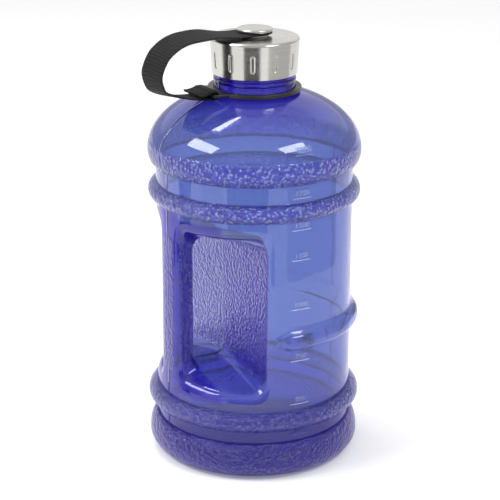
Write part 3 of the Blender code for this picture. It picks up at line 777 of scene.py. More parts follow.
def finish_piece(
    name: str, bm: bmesh.types.BMesh, material: bpy.types.Material, sharp_deg: float = 35.0
) -> bpy.types.Object:
    """Turn a bmesh into a smooth-shaded piece with outward faces.

    Args:
        name: The piece's name.
        bm: The mesh, which is freed.
        material: Its material.
        sharp_deg: The angle above which an edge stays sharp.

    Returns:
        The new object.
    """
    bmesh.ops.remove_doubles(bm, verts=bm.verts, dist=WELD)
    bmesh.ops.recalc_face_normals(bm, faces=bm.faces)
    mesh = bpy.data.meshes.new(name)
    bm.to_mesh(mesh)
    bm.free()
    mesh.shade_smooth()
    mesh.set_sharp_from_angle(angle=math.radians(sharp_deg))
    mesh.materials.append(material)
    piece = bpy.data.objects.new(name, mesh)
    bpy.context.scene.collection.objects.link(piece)
    LOG.info("%s: %d faces", name, len(mesh.polygons))
    return piece


def wrap_uv(piece: bpy.types.Object) -> None:
    """Give a turned piece a UV map with the turn along U and the section along V.

    Args:
        piece: The piece.
    """
    mesh = piece.data
    layer = mesh.uv_layers.new(name="UVMap")
    for face in mesh.polygons:
        middle = math.atan2(face.center.y, face.center.x)
        for index in face.loop_indices:
            place = mesh.vertices[mesh.loops[index].vertex_index].co
            away = math.hypot(place.x, place.y)
            angle = math.atan2(place.y, place.x) if away > WELD else middle
            if angle - middle > math.pi:
                angle -= math.tau
            if middle - angle > math.pi:
                angle += math.tau
            layer.data[index].uv = (angle / math.tau, (place.z - away) * UV_PER_METRE)


def turned_piece(
    name: str, profile: list[Point], material: bpy.types.Material, steps: int = 96, edge: float = 0.00012
) -> bpy.types.Object:
    """Make a turned piece from a closed profile with rounded corners.

    Args:
        name: The piece's name.
        profile: The corners as (radius, height).
        material: Its material.
        steps: The pieces in a turn.
        edge: The rounding of its corners.

    Returns:
        The new object.
    """
    bm = bmesh.new()
    rounded = round_corners(profile, edge)
    touches_axis = any(radius < WELD for radius, _ in rounded)
    spin_profile(bm, rounded, steps, closed=not touches_axis)
    piece = finish_piece(name, bm, material)
    wrap_uv(piece)
    return piece


def dress(piece: bpy.types.Object, body: str, slot: str, *nodes: str) -> bpy.types.Object:
    """Let a piece ride on a body and hide the CAD nodes that it stands for.

    Args:
        piece: The piece.
        body: The body it moves with.
        slot: The record's material slot; not used.
        nodes: The CAD nodes that it replaces.

    Returns:
        The piece.
    """
    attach(piece, body)
    if nodes:
        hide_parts(*nodes)
    return piece


@dataclass
class Thread:
    """A screw thread that is a swell in a fine turned surface."""

    start: float
    depth: float = 0.0010
    pitch: float = 0.0040
    turns: float = 2.25
    crest_width: float = 0.0009
    root_width: float = 0.0019
    end_slack: float = 0.02
    fade_turns: float = 0.12

    def swell(self, angle: float, height: float) -> float:
        """Return how far the thread stands off its root.

        Args:
            angle: The angle about the axis, in radians.
            height: The height.

        Returns:
            The distance from the root.
        """
        turn = (height - self.start) / self.pitch - angle / math.tau
        nearest = round(turn)
        along = nearest + angle / math.tau
        if along < -self.end_slack or along > self.turns + self.end_slack:
            return 0.0
        off = abs(turn - nearest) * self.pitch
        flank = (self.root_width - self.crest_width) / 2
        rise = (self.root_width / 2 - off) / flank
        fade = min(max(along, 0.0) / self.fade_turns, max(self.turns - along, 0.0) / self.fade_turns, 1.0)
        return self.depth * min(max(rise, 0.0), 1.0) * fade


# ---------------------------------------------------------------- jug


@dataclass
class JugBody:
    """The blow-moulded jug: one wall with grip rings, a finger ridge and a hand hole."""

    radius: float = 0.0613
    wall: float = 0.0020
    panel: Point = (0.0400, 0.0010)
    foot: Point = (0.0430, 0.0548)
    base_bulge: float = 0.0053
    base_middle: float = 0.0114
    base_top: float = 0.0240
    lower_ring: Point = (0.0316, 0.0441)
    lower_bulge: float = 0.0059
    upper_ring: Point = (0.1660, 0.1775)
    upper_bulge: float = 0.0049
    ring_run_out: float = 0.00036
    ring_margin: float = 0.0015
    shoulder: Point = (0.1884, 0.1971)
    shoulder_bulge: float = 0.0050
    dome_rise: float = 0.0388
    dome_fullness: float = 2.07
    dome_steps: int = 30
    neck_radius: float = 0.0249
    bead: Point = (0.2399, 0.2423)
    ledge: Point = (0.2429, 0.2443)
    bead_radius: float = 0.0254
    thread_root: float = 0.0228
    mouth: float = 0.2622
    lip_round: float = 0.0006
    grip_half_width: float = 0.0106
    grip_inner: float = 0.0486
    recess_wall: float = 0.0220
    recess: Point = (0.0552, 0.1555)
    hole: Point = (0.0655, 0.1458)
    hole_corner: float = 0.0065
    opening_corner: float = 0.0090
    side_lip: float = 0.0030
    end_lip: float = 0.0060
    row_margin: float = 0.0005
    lip_power: float = 8.0
    grip_edge: float = 0.0025
    ridge_middle: float = 0.0902
    ridge_half: float = 0.0063
    ridge_bulge: float = 0.0050
    ridge_end: float = math.radians(75.6)
    ridge_clear: float = 0.0120
    steps: int = 216
    columns: tuple[int, int] = (3, 45)
    pitch: float = 0.0016
    pebble_bottom: float = 0.0015
    pebble_top: float = 0.2035
    pebble_stand: float = 0.0006
    grip_pebble: Point = (0.0620, 0.1475)
    grip_pebble_margin: float = 0.02
    wall_share: float = 0.93
    # Painted shade on the grip and on the recess walls, laid in the thick mark; the wall there is no thicker.
    grip_angle: float = 0.20
    grip_side: float = -0.0455
    grip_shade: float = 0.74
    recess_shade: tuple[float, float] = (0.72, 0.42)
    thread: Thread = field(default_factory=lambda: Thread(start=0.2476))

    def build(self, finishes: Finishes) -> bpy.types.Object:
        """Build the jug.

        Args:
            finishes: The materials.

        Returns:
            The jug's object.
        """
        bm = bmesh.new()
        self.add_skin(bm, 0.0)
        inner = bmesh.new()
        self.add_skin(inner, self.wall)
        held = bpy.data.meshes.new("inner_skin")
        inner.to_mesh(held)
        inner.free()
        bm.from_mesh(held)
        bpy.data.meshes.remove(held)
        jug = finish_piece("jug", bm, finishes.plastic, 50.0)
        return dress(jug, "jug", "blue_copolyester", "jug_body")

    def add_skin(self, bm: bmesh.types.BMesh, wall: float) -> None:
        """Add the jug's surface, moved inward by a wall.

        Args:
            bm: The empty mesh to add to.
            wall: The distance inward.
        """
        for name in MARKS:
            bm.verts.layers.float.new(name)
        profile = self.profile(wall)
        spin_profile(bm, profile, self.steps, closed=False)
        window = self.opening_rows(profile)
        self.shape_surface(bm, wall)
        self.cut_openings(bm, wall, window)
        loops = {side: self.border_loop(bm, side, window) for side in (1, -1)}
        for side, loop in loops.items():
            self.add_tunnel(bm, loop, side, wall)
        bmesh.ops.remove_doubles(bm, verts=bm.verts, dist=WELD)

    def profile(self, wall: float) -> list[Point]:
        """Return the profile from the base's centre to the middle of the mouth.

        Args:
            wall: The distance inward from the outside.

        Returns:
            The (radius, height) points.
        """
        radius = self.radius - wall
        points = [(0.0, self.panel[1] + wall)]
        points += [(r, self.panel[1] + wall) for r in spread(0.012, self.panel[0], 0.010)]
        points += [(self.panel[0], self.panel[1] + wall), (self.foot[0], wall)]
        corner = (self.radius + self.base_bulge - self.foot[1] - wall, self.base_middle - wall)
        points += arc((self.foot[1], self.base_middle), corner, -90, 0, 12)
        upper = (self.base_bulge, self.base_top - self.base_middle - wall)
        points += arc((radius, self.base_middle), upper, 0, 90, 10)[1:]
        points += self.ring(self.lower_ring, self.lower_bulge, wall)
        low = self.lower_ring[1] + self.ring_margin
        high = self.upper_ring[0] - self.ring_margin
        points += [(radius, height) for height in spread(low, high, self.pitch)] + [(radius, high)]
        points += self.ring(self.upper_ring, self.upper_bulge, wall)
        shoulder = (self.shoulder_bulge, self.shoulder[1] - self.shoulder[0] - wall)
        points += arc((radius, self.shoulder[1]), shoulder, -90, 0, 8)
        points += self.dome(wall)
        points += self.neck() if wall == 0 else self.bore()
        return points

    def ring(self, span: Point, bulge: float, wall: float) -> list[Point]:
        """Return the round swell of a grip ring.

        Args:
            span: Its lowest and highest height.
            bulge: How far it stands out.
            wall: The distance inward from the outside.

        Returns:
            The (radius, height) points.
        """
        size = swell_radius((span[1] - span[0]) / 2, bulge)
        centre = self.radius + bulge - size
        limit = math.degrees(math.acos((self.radius - wall - centre) / (size - wall)))
        middle = (span[0] + span[1]) / 2
        points = arc((centre, middle), (size - wall, size - wall), -limit, limit, 14)
        if wall == 0:
            points[0] = (self.radius, points[0][1] - self.ring_run_out)
            points[-1] = (self.radius, points[-1][1] + self.ring_run_out)
        return points

    def dome(self, wall: float) -> list[Point]:
        """Return the dome's curve from its widest point up to the neck.

        Args:
            wall: The distance inward from the outside.

        Returns:
            The (radius, height) points without the first.
        """
        widest = self.radius + self.shoulder_bulge - wall
        rise = self.dome_rise - wall
        last = self.thread_root - self.wall if wall else self.neck_radius
        power = 2 / self.dome_fullness
        end = math.acos((last / widest) ** (1 / power))
        points = []
        for step in range(1, self.dome_steps + 1):
            angle = end * step / self.dome_steps
            height = self.shoulder[1] + rise * math.sin(angle) ** power
            points.append((widest * math.cos(angle) ** power, height))
        return points

    def neck(self) -> list[Point]:
        """Return the outside of the neck up to the middle of the mouth's lip."""
        groove = self.neck_radius - 0.0004
        bead = self.bead_radius
        ledge = bead - 0.0001
        points = [(self.neck_radius, self.bead[0] - 0.0006), (groove, self.bead[0] - 0.0001)]
        points += [(bead - 0.0002, self.bead[0]), (bead, self.bead[0] + 0.0003)]
        points += [(bead, self.bead[1] - 0.0003), (bead - 0.0002, self.bead[1])]
        points += [(groove, self.bead[1] + 0.0001), (groove, self.ledge[0] - 0.0001)]
        points += [(ledge - 0.0002, self.ledge[0]), (ledge, self.ledge[0] + 0.0002)]
        points += [(ledge, self.ledge[1] - 0.0002), (ledge - 0.0002, self.ledge[1])]
        top = self.mouth - self.lip_round
        points += [(self.thread_root, height) for height in spread(self.ledge[1], top, THREAD_STEP)]
        points += [(self.thread_root, top), (self.thread_root - 0.0002, self.mouth - 0.0002)]
        points += [(self.thread_root - self.lip_round, self.mouth)]
        points.append((self.thread_root - self.wall / 2, self.mouth))
        return points

    def bore(self) -> list[Point]:
        """Return the inside of the neck up to the middle of the mouth's lip."""
        bore = self.thread_root - self.wall
        top = self.mouth - self.lip_round
        points = [(bore, height) for height in spread(self.bead[0], top, 0.004)] + [(bore, top)]
        points += [(bore + 0.0002, self.mouth - 0.0002), (bore + self.lip_round, self.mouth)]
        points.append((self.thread_root - self.wall / 2, self.mouth))
        return points

    def opening_rows(self, profile: list[Point]) -> list[float]:
        """Return the heights of the mesh rows round the hand opening.

        Args:
            profile: The skin's profile.

        Returns:
            The heights, lowest first.
        """
        low = self.recess[0] - self.end_lip - self.row_margin
        high = self.recess[1] + self.end_lip + self.row_margin
        rows = sorted({round(height, 7) for _, height in profile})
        between = [h for h in rows if self.lower_ring[1] + 0.001 < h < self.upper_ring[0] - 0.001]
        first = max(h for h in between if h <= low)
        last = min(h for h in between if h >= high)
        return [h for h in between if first <= h <= last]

    def shape_surface(self, bm: bmesh.types.BMesh, wall: float) -> None:
        """Raise the finger ridge and the thread, mark the pebbled zones, and lay painted shade on the grip.

        Args:
            bm: The skin, still a plain turned one.
            wall: The distance inward from the outside.
        """
        zone, thick = (bm.verts.layers.float[name] for name in MARKS)
        for vert in bm.verts:
            x, y, z = vert.co
            away = math.hypot(x, y)
            if away < WELD:
                continue
            angle = math.atan2(-y, -x)
            if abs(away - (self.radius - wall)) < NEAR:
                move_out(vert, self.ridge(angle, z))
            if wall == 0 and self.ledge[1] < z < self.mouth - 0.0005 and away < self.thread_root + NEAR:
                move_out(vert, self.thread.swell(math.atan2(y, x) % math.tau, z))
            # Painted shade on the grip, in the thick mark.
            if abs(angle) < self.grip_angle and self.lower_ring[1] < z < self.upper_ring[0]:
                vert[thick] = self.grip_shade
            if wall == 0:
                vert[zone] = self.pebbled(away, angle, z).value

    def ridge(self, angle: float, height: float) -> float:
        """Return how far the finger ridge stands out.

        Args:
            angle: The angle from the grip's plane.
            height: The height.

        Returns:
            The distance from the body's surface.
        """
        before = (self.ridge_end - abs(angle)) * self.radius + self.ridge_half
        away = math.hypot(height - self.ridge_middle, max(before, 0.0))
        if away >= self.ridge_half:
            return 0.0
        size = swell_radius(self.ridge_half, self.ridge_bulge)
        return math.sqrt(size**2 - away**2) - (size - self.ridge_bulge)

    def pebbled(self, away: float, angle: float, height: float) -> Zone:
        """Return the finish of the outside at a place.

        Args:
            away: The distance from the axis.
            angle: The angle from the grip's plane.
            height: The height.

        Returns:
            The zone's finish.
        """
        stands_out = away > self.radius + self.pebble_stand
        by_ridge = abs(height - self.ridge_middle) <= self.ridge_clear
        if stands_out and self.pebble_bottom <= height < self.pebble_top and not by_ridge:
            return Zone.PEBBLE
        on_grip = abs(angle) < math.asin(self.grip_half_width / self.radius) + self.grip_pebble_margin
        if on_grip and self.grip_pebble[0] < height < self.grip_pebble[1]:
            return Zone.PEBBLE
        return Zone.GLOSS

    def column_angle(self, column: int) -> float:
        """Return the angle of a mesh column from the grip's plane."""
        return math.tau * column / self.steps

    def cut_openings(self, bm: bmesh.types.BMesh, wall: float, window: list[float]) -> None:
        """Take the faces of both hand openings out of the skin.

        Args:
            bm: The skin.
            wall: The distance inward from the outside.
            window: The heights of the mesh rows round the opening.
        """
        low = self.column_angle(self.columns[0])
        high = self.column_angle(self.columns[1])
        gone = []
        for face in bm.faces:
            middle = face.calc_center_median()
            angle = abs(math.atan2(-middle.y, -middle.x))
            outside = math.hypot(middle.x, middle.y) > self.radius - wall - self.wall
            if outside and low < angle < high and window[0] < middle.z < window[-1]:
                gone.append(face)
        bmesh.ops.delete(bm, geom=gone, context="FACES")

    def border_loop(self, bm: bmesh.types.BMesh, side: int, window: list[float]) -> list:
        """Return an opening's border with the place of each vertex on the unit square.

        Args:
            bm: The skin.
            side: 1 for the near opening and -1 for the far one.
            window: The heights of the mesh rows round the opening.

        Returns:
            Pairs of a vertex and its (u, v) place.
        """
        loop = []
        low = self.column_angle(self.columns[0])
        high = self.column_angle(self.columns[1])
        for vert in bm.verts:
            if not vert.is_boundary or not window[0] - NEAR < vert.co.z < window[-1] + NEAR:
                continue
            angle = math.atan2(-vert.co.y, -vert.co.x) * side
            if low - 1e-4 < angle < high + 1e-4:
                u = 2 * (angle - low) / (high - low) - 1
                v = 2 * (vert.co.z - window[0]) / (window[-1] - window[0]) - 1
                loop.append((vert, (u, v)))
        return loop

    def add_tunnel(self, bm: bmesh.types.BMesh, loop: list, side: int, wall: float) -> None:
        """Extrude an opening's border down its recess to the parting plane.

        Args:
            bm: The skin.
            loop: The border, from border_loop.
            side: 1 for the near opening and -1 for the far one.
            wall: The distance inward from the outside.
        """
        zone, thick = (bm.verts.layers.float[name] for name in MARKS)
        paths = {vert: self.recess_path(*uv, wall) for vert, uv in loop}
        edges = [e for e in bm.edges if e.is_boundary and e.verts[0] in paths and e.verts[1] in paths]
        flip = Vector((1, side, 1))
        # Painted shade on the recess walls, more in the near recess than in the far one.
        depth = self.recess_shade[0 if side > 0 else 1]
        for step in range(len(next(iter(paths.values())))):
            fresh, edges = parted(bmesh.ops.extrude_edge_only(bm, edges=edges)["geom"])
            old = {tuple(round(c, 7) for c in vert.co): vert for vert in paths}
            paths = {vert: paths[old[tuple(round(c, 7) for c in vert.co)]] for vert in fresh}
            for vert in fresh:
                point, finish = paths[vert][step]
                vert.co = point * flip
                # Painted shade in the thick mark on the grip's side and the recess's pebbled walls.
                vert[thick] = self.grip_shade if point.x < self.grip_side else depth * finish
                if wall == 0:
                    vert[zone] = finish

    def recess_path(self, u: float, v: float, wall: float) -> list[tuple[Vector, float]]:
        """Return the path from the body's surface through one recess to the parting plane.

        Args:
            u: The place from the grip (-1) to the recess's flat wall (1).
            v: The place from the bottom (-1) to the top (1).
            wall: The distance inward from the outside.

        Returns:
            Points with the finish of the surface at each.
        """
        radius = self.radius - wall
        low = (math.asin((self.grip_half_width - wall) / radius) * radius, self.recess[0] - wall)
        high = (math.acos((self.recess_wall - wall) / radius) * radius, self.recess[1] + wall)
        side = self.side_lip - 0.5 * wall
        end = self.end_lip - 0.5 * wall
        corner = self.opening_corner + wall
        outer_low, outer_high = (low[0] - side, low[1] - end), (high[0] + side, high[1] + end)
        rim = self.on_body(u, v, outer_low, outer_high, corner + end / 2, radius)
        edge = self.on_body(u, v, low, high, corner, radius)
        slope = (self.hole[0] - self.recess[0]) / (self.radius - 2 * self.wall)
        depth = self.grip_half_width - wall
        hole_low = Vector((-self.grip_inner - wall, self.hole[0] - wall))
        hole_high = Vector((-self.recess_wall + wall, self.hole[1] + wall))
        hole_corner = self.hole_corner + wall
        x0, z0 = rounded_box(u, v, hole_low, hole_high, hole_corner)
        spread_z = Vector((0.0, slope * depth))
        x1, z1 = rounded_box(u, v, hole_low - spread_z, hole_high + spread_z, hole_corner)
        hole = Vector((x0, 0.0, z0))
        bend = Vector((x1, -depth, z1))
        lip = self.side_lip + (self.end_lip - self.side_lip) * min(abs(v) ** self.lip_power, 1.0)
        start = edge + (bend - edge).normalized() * lip
        finish = (Zone.GLOSS if abs(v) > self.wall_share else Zone.PEBBLE).value
        path = [(rim, 0.0)]
        for t in (0.25, 0.5, 0.75):
            path.append((rim.lerp(edge, t).lerp(edge.lerp(start, t), t), 0.0))
        path.append((start, finish * 0.5))
        size = self.grip_edge if wall == 0 else self.grip_edge * 0.4
        before = bend + (start - bend).normalized() * size
        after = bend + (hole - bend).normalized() * size
        for t in (0.03, 0.2, 0.4, 0.6, 0.8):
            path.append((start.lerp(before, t), finish))
        for t in (0.0, 0.25, 0.5, 0.75, 1.0):
            path.append((before.lerp(bend, t).lerp(bend.lerp(after, t), t), finish))
        for t in (0.33, 0.66, 1.0):
            path.append((after.lerp(hole, t), finish))
        return path

    def on_body(self, u: float, v: float, low: Point, high: Point, corner: float, radius: float) -> Vector:
        """Return a point of a rounded rectangle that lies on the body's surface.

        Args:
            u: The place across, -1 to 1.
            v: The place upward, -1 to 1.
            low: The rectangle's lowest corner as (arc length, height).
            high: Its highest corner.
            corner: Its corner radius.
            radius: The body's radius.

        Returns:
            The point on the near side.
        """
        s, height = rounded_box(u, v, Vector(low), Vector(high), corner)
        angle = s / radius
        return Vector((-radius * math.cos(angle), -radius * math.sin(angle), height))


def swell_radius(half: float, bulge: float) -> float:
    """Return the radius of a round swell with half its width and how far it stands out."""
    return (half**2 + bulge**2) / (2 * bulge)


def rounded_box(u: float, v: float, low: Vector, high: Vector, corner: float) -> Point:
    """Map a point on the edge of the unit square to a rectangle with round corners.

    Args:
        u: The place across, -1 to 1.
        v: The place upward, -1 to 1.
        low: The rectangle's lowest corner.
        high: Its highest corner.
        corner: Its corner radius.

    Returns:
        The mapped point.
    """
    x = low[0] + (high[0] - low[0]) * (u + 1) / 2
    z = low[1] + (high[1] - low[1]) * (v + 1) / 2
    core = Vector((
        min(max(x, low[0] + corner), high[0] - corner),
        min(max(z, low[1] + corner), high[1] - corner),
    ))
    away = Vector((x, z)) - core
    if away.length < 1e-9:
        return x, z
    away = away.normalized() * corner
    return core.x + away.x, core.y + away.y


@dataclass
class LitreScale:
    """The raised capacity scale on the jug's side."""

    radius: float = 0.0613
    angle: float = math.radians(87.8)
    heights: dict[str, float] = field(default_factory=lambda: {
        "2000": 0.2079, "1750": 0.1805, "1500": 0.1606, "1250": 0.1415,
        "1000": 0.1100, "750": 0.0766, "500": 0.0480, "250": 0.0278,
    })
    shoulder_start: float = 0.2000
    shoulder_radius: float = 0.0640
    shoulder_lean: float = 0.45
    line_length: float = 0.0125
    line_width: float = 0.0007
    line_taper: Point = (0.985, 0.55)
    rise: float = 0.00045
    letter_size: float = 0.0048
    letter_gap: float = 0.0017
    letter_bevel: float = 0.00006
    lift: float = 0.00004

    def build(self, finishes: Finishes) -> bpy.types.Object:
        """Build every mark of the scale as one piece.

        Args:
            finishes: The materials.

        Returns:
            The scale's object.
        """
        bm = bmesh.new()
        for label, height in self.heights.items():
            radius, tilt = self.surface_at(height)
            self.add_line(bm, height, radius, tilt)
            self.add_number(bm, label, height + self.letter_gap, radius, tilt)
        scale = finish_piece("litre_scale", bm, finishes.scale, 30.0)
        return dress(scale, "jug", "blue_copolyester")

    def surface_at(self, height: float) -> tuple[float, float]:
        """Return the jug's radius and lean at a mark.

        Args:
            height: The mark's height.

        Returns:
            The radius and how much it shrinks for each metre upward.
        """
        if height > self.shoulder_start:
            return self.shoulder_radius, self.shoulder_lean
        return self.radius, 0.0

    def bend(self, verts: list, height: float, radius: float, tilt: float) -> None:
        """Wrap flat geometry onto the jug.

        Args:
            verts: Vertices with x along the surface, y upward and z outward.
            height: The height of the flat geometry's y = 0.
            radius: The jug's radius there.
            tilt: How much the radius shrinks for each metre upward.
        """
        for vert in verts:
            x, y, z = vert.co
            away = radius + z - tilt * y + self.lift
            angle = self.angle + x / radius
            vert.co = Vector((-away * math.cos(angle), -away * math.sin(angle), height + y))

    def add_line(self, bm: bmesh.types.BMesh, height: float, radius: float, tilt: float) -> None:
        """Add one raised line.

        Args:
            bm: The mesh to add to.
            height: The line's height.
            radius: The jug's radius there.
            tilt: How much the radius shrinks for each metre upward.
        """
        start = len(bm.verts)
        cells = bmesh.ops.create_grid(bm, x_segments=12, y_segments=1, size=0.5)["verts"]
        bmesh.ops.scale(bm, vec=(self.line_length, self.line_width, 1.0), verts=cells)
        top = thicken(bm, list({face for vert in cells for face in vert.link_faces}), self.rise)
        bmesh.ops.scale(bm, vec=(*self.line_taper, 1.0), verts=top)
        bm.verts.ensure_lookup_table()
        self.bend(list(bm.verts)[start:], height, radius, tilt)

    def add_number(self, bm: bmesh.types.BMesh, label: str, height: float, radius: float, tilt: float) -> None:
        """Add one raised number.

        Args:
            bm: The mesh to add to.
            label: The digits.
            height: The height of the digits' base.
            radius: The jug's radius there.
            tilt: How much the radius shrinks for each metre upward.
        """
        curve = bpy.data.curves.new("digits", "FONT")
        curve.body = label
        curve.size = self.letter_size
        curve.align_x = "CENTER"
        curve.extrude = self.rise / 2
        curve.bevel_depth = self.letter_bevel
        curve.resolution_u = 3
        holder = bpy.data.objects.new("digits", curve)
        bpy.context.scene.collection.objects.link(holder)
        bpy.context.view_layer.update()
        mesh = bpy.data.meshes.new_from_object(holder)
        bpy.data.objects.remove(holder)
        bpy.data.curves.remove(curve)
        start = len(bm.verts)
        bm.from_mesh(mesh)
        bpy.data.meshes.remove(mesh)
        bm.verts.ensure_lookup_table()
        fresh = list(bm.verts)[start:]
        bmesh.ops.translate(bm, vec=(0, 0, self.rise / 2 + self.letter_bevel), verts=fresh)
        self.bend(fresh, height, radius, tilt)


# ---------------------------------------------------------------- collar and strap


@dataclass
class NeckCollar:
    """The loose collar under the bead, with the slotted tab that holds the strap."""

    inner: float = 0.0252
    outer: float = 0.0288
    span: Point = (0.2338, 0.2364)
    tab_reach: float = 0.0350
    tab_half_width: float = 0.0135
    tab_thickness: float = 0.0019
    slot: Point = (0.0292, 0.0319)
    slot_half: float = 0.0112
    edge: float = 0.0004
    tab_corner: float = 0.0025
    steps: int = 96
    outline_steps: int = 72

    def build(self, finishes: Finishes) -> bpy.types.Object:
        """Build the collar.

        Args:
            finishes: The materials.

        Returns:
            The collar's object.
        """
        bm = bmesh.new()
        low = self.span[1] - self.tab_thickness
        fill_plate(bm, [self.outline(), circle(self.inner, self.steps), self.slot_outline()], low)
        bmesh.ops.recalc_face_normals(bm, faces=bm.faces)
        thicken(bm, list(bm.faces), self.tab_thickness)
        bmesh.ops.recalc_face_normals(bm, faces=bm.faces)
        bevel_edges(bm, 60, self.edge, 3, level_only=True)
        rib = ring_profile(self.inner, self.outer, self.span[0], low + self.edge)
        spin_profile(bm, round_corners(rib, self.edge), self.steps, closed=True)
        collar = finish_piece("collar", bm, finishes.black, 40.0)
        return dress(collar, "tether", "black_polypropylene", "neck_collar")

    def outline(self) -> list[Point]:
        """Return the outer line of the ring and its tab, with a soft run between them."""
        meet = math.degrees(math.asin(self.tab_half_width / self.outer))
        points = arc((0, 0), (self.outer, self.outer), meet - 180, 180 - meet, self.outline_steps)
        corner = self.tab_corner
        side = self.tab_half_width - corner
        for start, middle in ((90, side), (180, -side)):
            points += arc((corner - self.tab_reach, middle), (corner, corner), start, start + 90, 6)
        return points

    def slot_outline(self) -> list[Point]:
        """Return the slot's outline with round ends."""
        half = (self.slot[1] - self.slot[0]) / 2
        middle = -(self.slot[0] + self.slot[1]) / 2
        side = self.slot_half - half
        return arc((middle, side), (half, half), 0, 180, 8) + arc((middle, -side), (half, half), 180, 360, 8)


@dataclass
class TetherStrap:
    """The webbing strap from the cap's post to the collar's slot."""

    width: float = 0.0215
    thickness: float = 0.0015
    level: float = 0.26905
    bar_top: float = 0.2364
    bar_thickness: float = 0.0019
    slot_middle: float = -0.03055
    lean: float = 0.13
    lean_rise: Point = (0.030, 0.052)
    lean_fade: Point = (0.112, 0.140)
    hole: float = 0.0042
    pitch: float = 0.0020
    rib: float = 0.00020
    step: float = 0.00040
    gap_below: float = 0.00055
    gap_above: float = 0.0004
    across_steps: int = 16
    round_power: float = 14.0
    round_floor: float = 0.25
    selvedge: float = 0.00005
    selvedge_span: Point = (0.86, 0.99)
    stitch_rows: tuple[float, float, float] = (0.0024, 0.0044, 0.0082)
    stitch_pitch: float = 0.0021
    stitch_size: tuple[float, float, float] = (0.00026, 0.00022, 0.00088)
    stitch_lift: float = 0.00008

    def route(self) -> list[Vector]:
        """Return the strap's middle line in the XZ plane, from the post to its tail."""
        level = self.level
        bar_low = self.bar_top - self.bar_thickness - self.gap_below - self.thickness / 2
        bar_high = self.bar_top + self.gap_above + self.thickness / 2
        slot = self.slot_middle
        points = [
            (0.0, level), (-0.008, level), (-0.016, level), (-0.024, level + 0.0008),
            (-0.034, level + 0.0019), (-0.045, level + 0.0015), (-0.0515, level + 0.0005),
            (-0.057, level - 0.0015), (-0.0615, level - 0.0043), (-0.0655, level - 0.0080),
            (-0.0688, level - 0.0140), (-0.0701, level - 0.0192), (-0.0690, level - 0.0245),
            (-0.0663, level - 0.0290), (-0.0585, level - 0.0324), (-0.0500, bar_low + 0.0014),
            (-0.043, bar_low + 0.0004), (-0.036, bar_low + 0.0001), (-0.0332, bar_low),
            (slot - 0.0014, bar_low + 0.0001), (slot - 0.0003, bar_low + 0.0008),
            (slot, bar_low + 0.0022), (slot - 0.0001, bar_high - 0.0011),
            (slot - 0.0010, bar_high - 0.0002), (slot - 0.0024, bar_high),
            (slot - 0.0045, bar_high), (slot - 0.0075, bar_high - 0.0010),
            (slot - 0.0103, bar_high - 0.0016), (slot - 0.0130, bar_high - 0.0015),
        ]
        return [Vector((x, 0.0, z)) for x, z in points]

    def stations(self) -> list[tuple[Vector, Vector, float]]:
        """Return points along the strap with the outward normal and the distance at each."""
        points = self.route()
        padded = [2 * points[0] - points[1], *points, 2 * points[-1] - points[-2]]
        fine = []
        for i in range(len(points) - 1):
            a, b, c, d = padded[i:i + 4]
            for k in range(24):
                t = k / 24
                fine.append(0.5 * (
                    2 * b + (c - a) * t + (2 * a - 5 * b + 4 * c - d) * t**2 + (3 * b - a - 3 * c + d) * t**3
                ))
        fine.append(points[-1])
        lengths = [0.0]
        for before, after in zip(fine, fine[1:]):
            lengths.append(lengths[-1] + (after - before).length)
        count = round(lengths[-1] / self.step)
        result = []
        place = 0
        for i in range(count + 1):
            along = lengths[-1] * i / count
            while place < len(lengths) - 2 and lengths[place + 1] < along:
                place += 1
            t = (along - lengths[place]) / (lengths[place + 1] - lengths[place])
            result.append((fine[place].lerp(fine[place + 1], t), along))
        placed = []
        for i, (point, along) in enumerate(result):
            ahead = result[min(i + 2, count)][0] - result[max(i - 2, 0)][0]
            placed.append((point, Vector((ahead.z, 0.0, -ahead.x)).normalized(), along))
        return placed

    def slope(self, along: float) -> float:
        """Return the lean across the strap at a distance from the post."""
        away = along + self.width / 2
        rise = (away - self.lean_rise[0]) / (self.lean_rise[1] - self.lean_rise[0])
        fall = (self.lean_fade[1] - away) / (self.lean_fade[1] - self.lean_fade[0])
        return self.lean * eased(min(rise, fall))

    def build(self, finishes: Finishes) -> bpy.types.Object:
        """Build the strap with its eyelet hole, and its stitches.

        Args:
            finishes: The materials.

        Returns:
            The strap's object.
        """
        stations = self.stations()
        half = self.width / 2
        start = [(Vector((half * s, 0, self.level)), Vector((0, 0, 1)), -half * s) for s in self.round_end()]
        bm = bmesh.new()
        uv = bm.loops.layers.uv.new("UVMap")
        rows = []
        for point, normal, along in start + stations:
            wide = math.sqrt(max(half**2 - along**2, 1e-8)) if along < 0 else half
            rows.append(self.section(point, normal, along, wide))
        self.skin(bm, rows, [along for _, _, along in start + stations], uv)
        strap = self.finish(bm, finishes)
        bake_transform(strap, "tether", "strap_end", start=(0, 0, 0.2385), end=(0, 0, 0.2675))
        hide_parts("strap")
        self.add_stitches(finishes, stations)
        return strap

    def round_end(self) -> list[float]:
        """Return the places of the round end's rows as shares of the half width, outermost first."""
        return [math.cos(math.pi / 2 * i / 12) for i in range(1, 12)]

    def section(self, point: Vector, normal: Vector, along: float, wide: float) -> list[tuple[Vector, float]]:
        """Return one closed cross-section.

        Args:
            point: The middle of the section.
            normal: The outward direction.
            along: The distance from the post.
            wide: Half its width.

        Returns:
            Points with their place across, in metres.
        """
        rib = self.rib * (0.5 + 0.5 * math.cos(math.tau * along / self.pitch))
        half = self.thickness / 2 - self.rib + rib * 0.9
        side = Vector((0, 1, 0)) + normal * self.slope(along)
        upper, lower = [], []
        for i in range(self.across_steps + 1):
            s = -wide + 2 * wide * i / self.across_steps
            share = abs(s) / wide
            thick = half * min(1.0, math.sqrt(max(1 - share**self.round_power, 0.0)) + self.round_floor)
            proud = self.selvedge if self.selvedge_span[0] < share < self.selvedge_span[1] else 0.0
            upper.append((point + side * s + normal * (thick + proud), s))
            lower.append((point + side * s - normal * thick, s))
        return upper + lower[::-1]

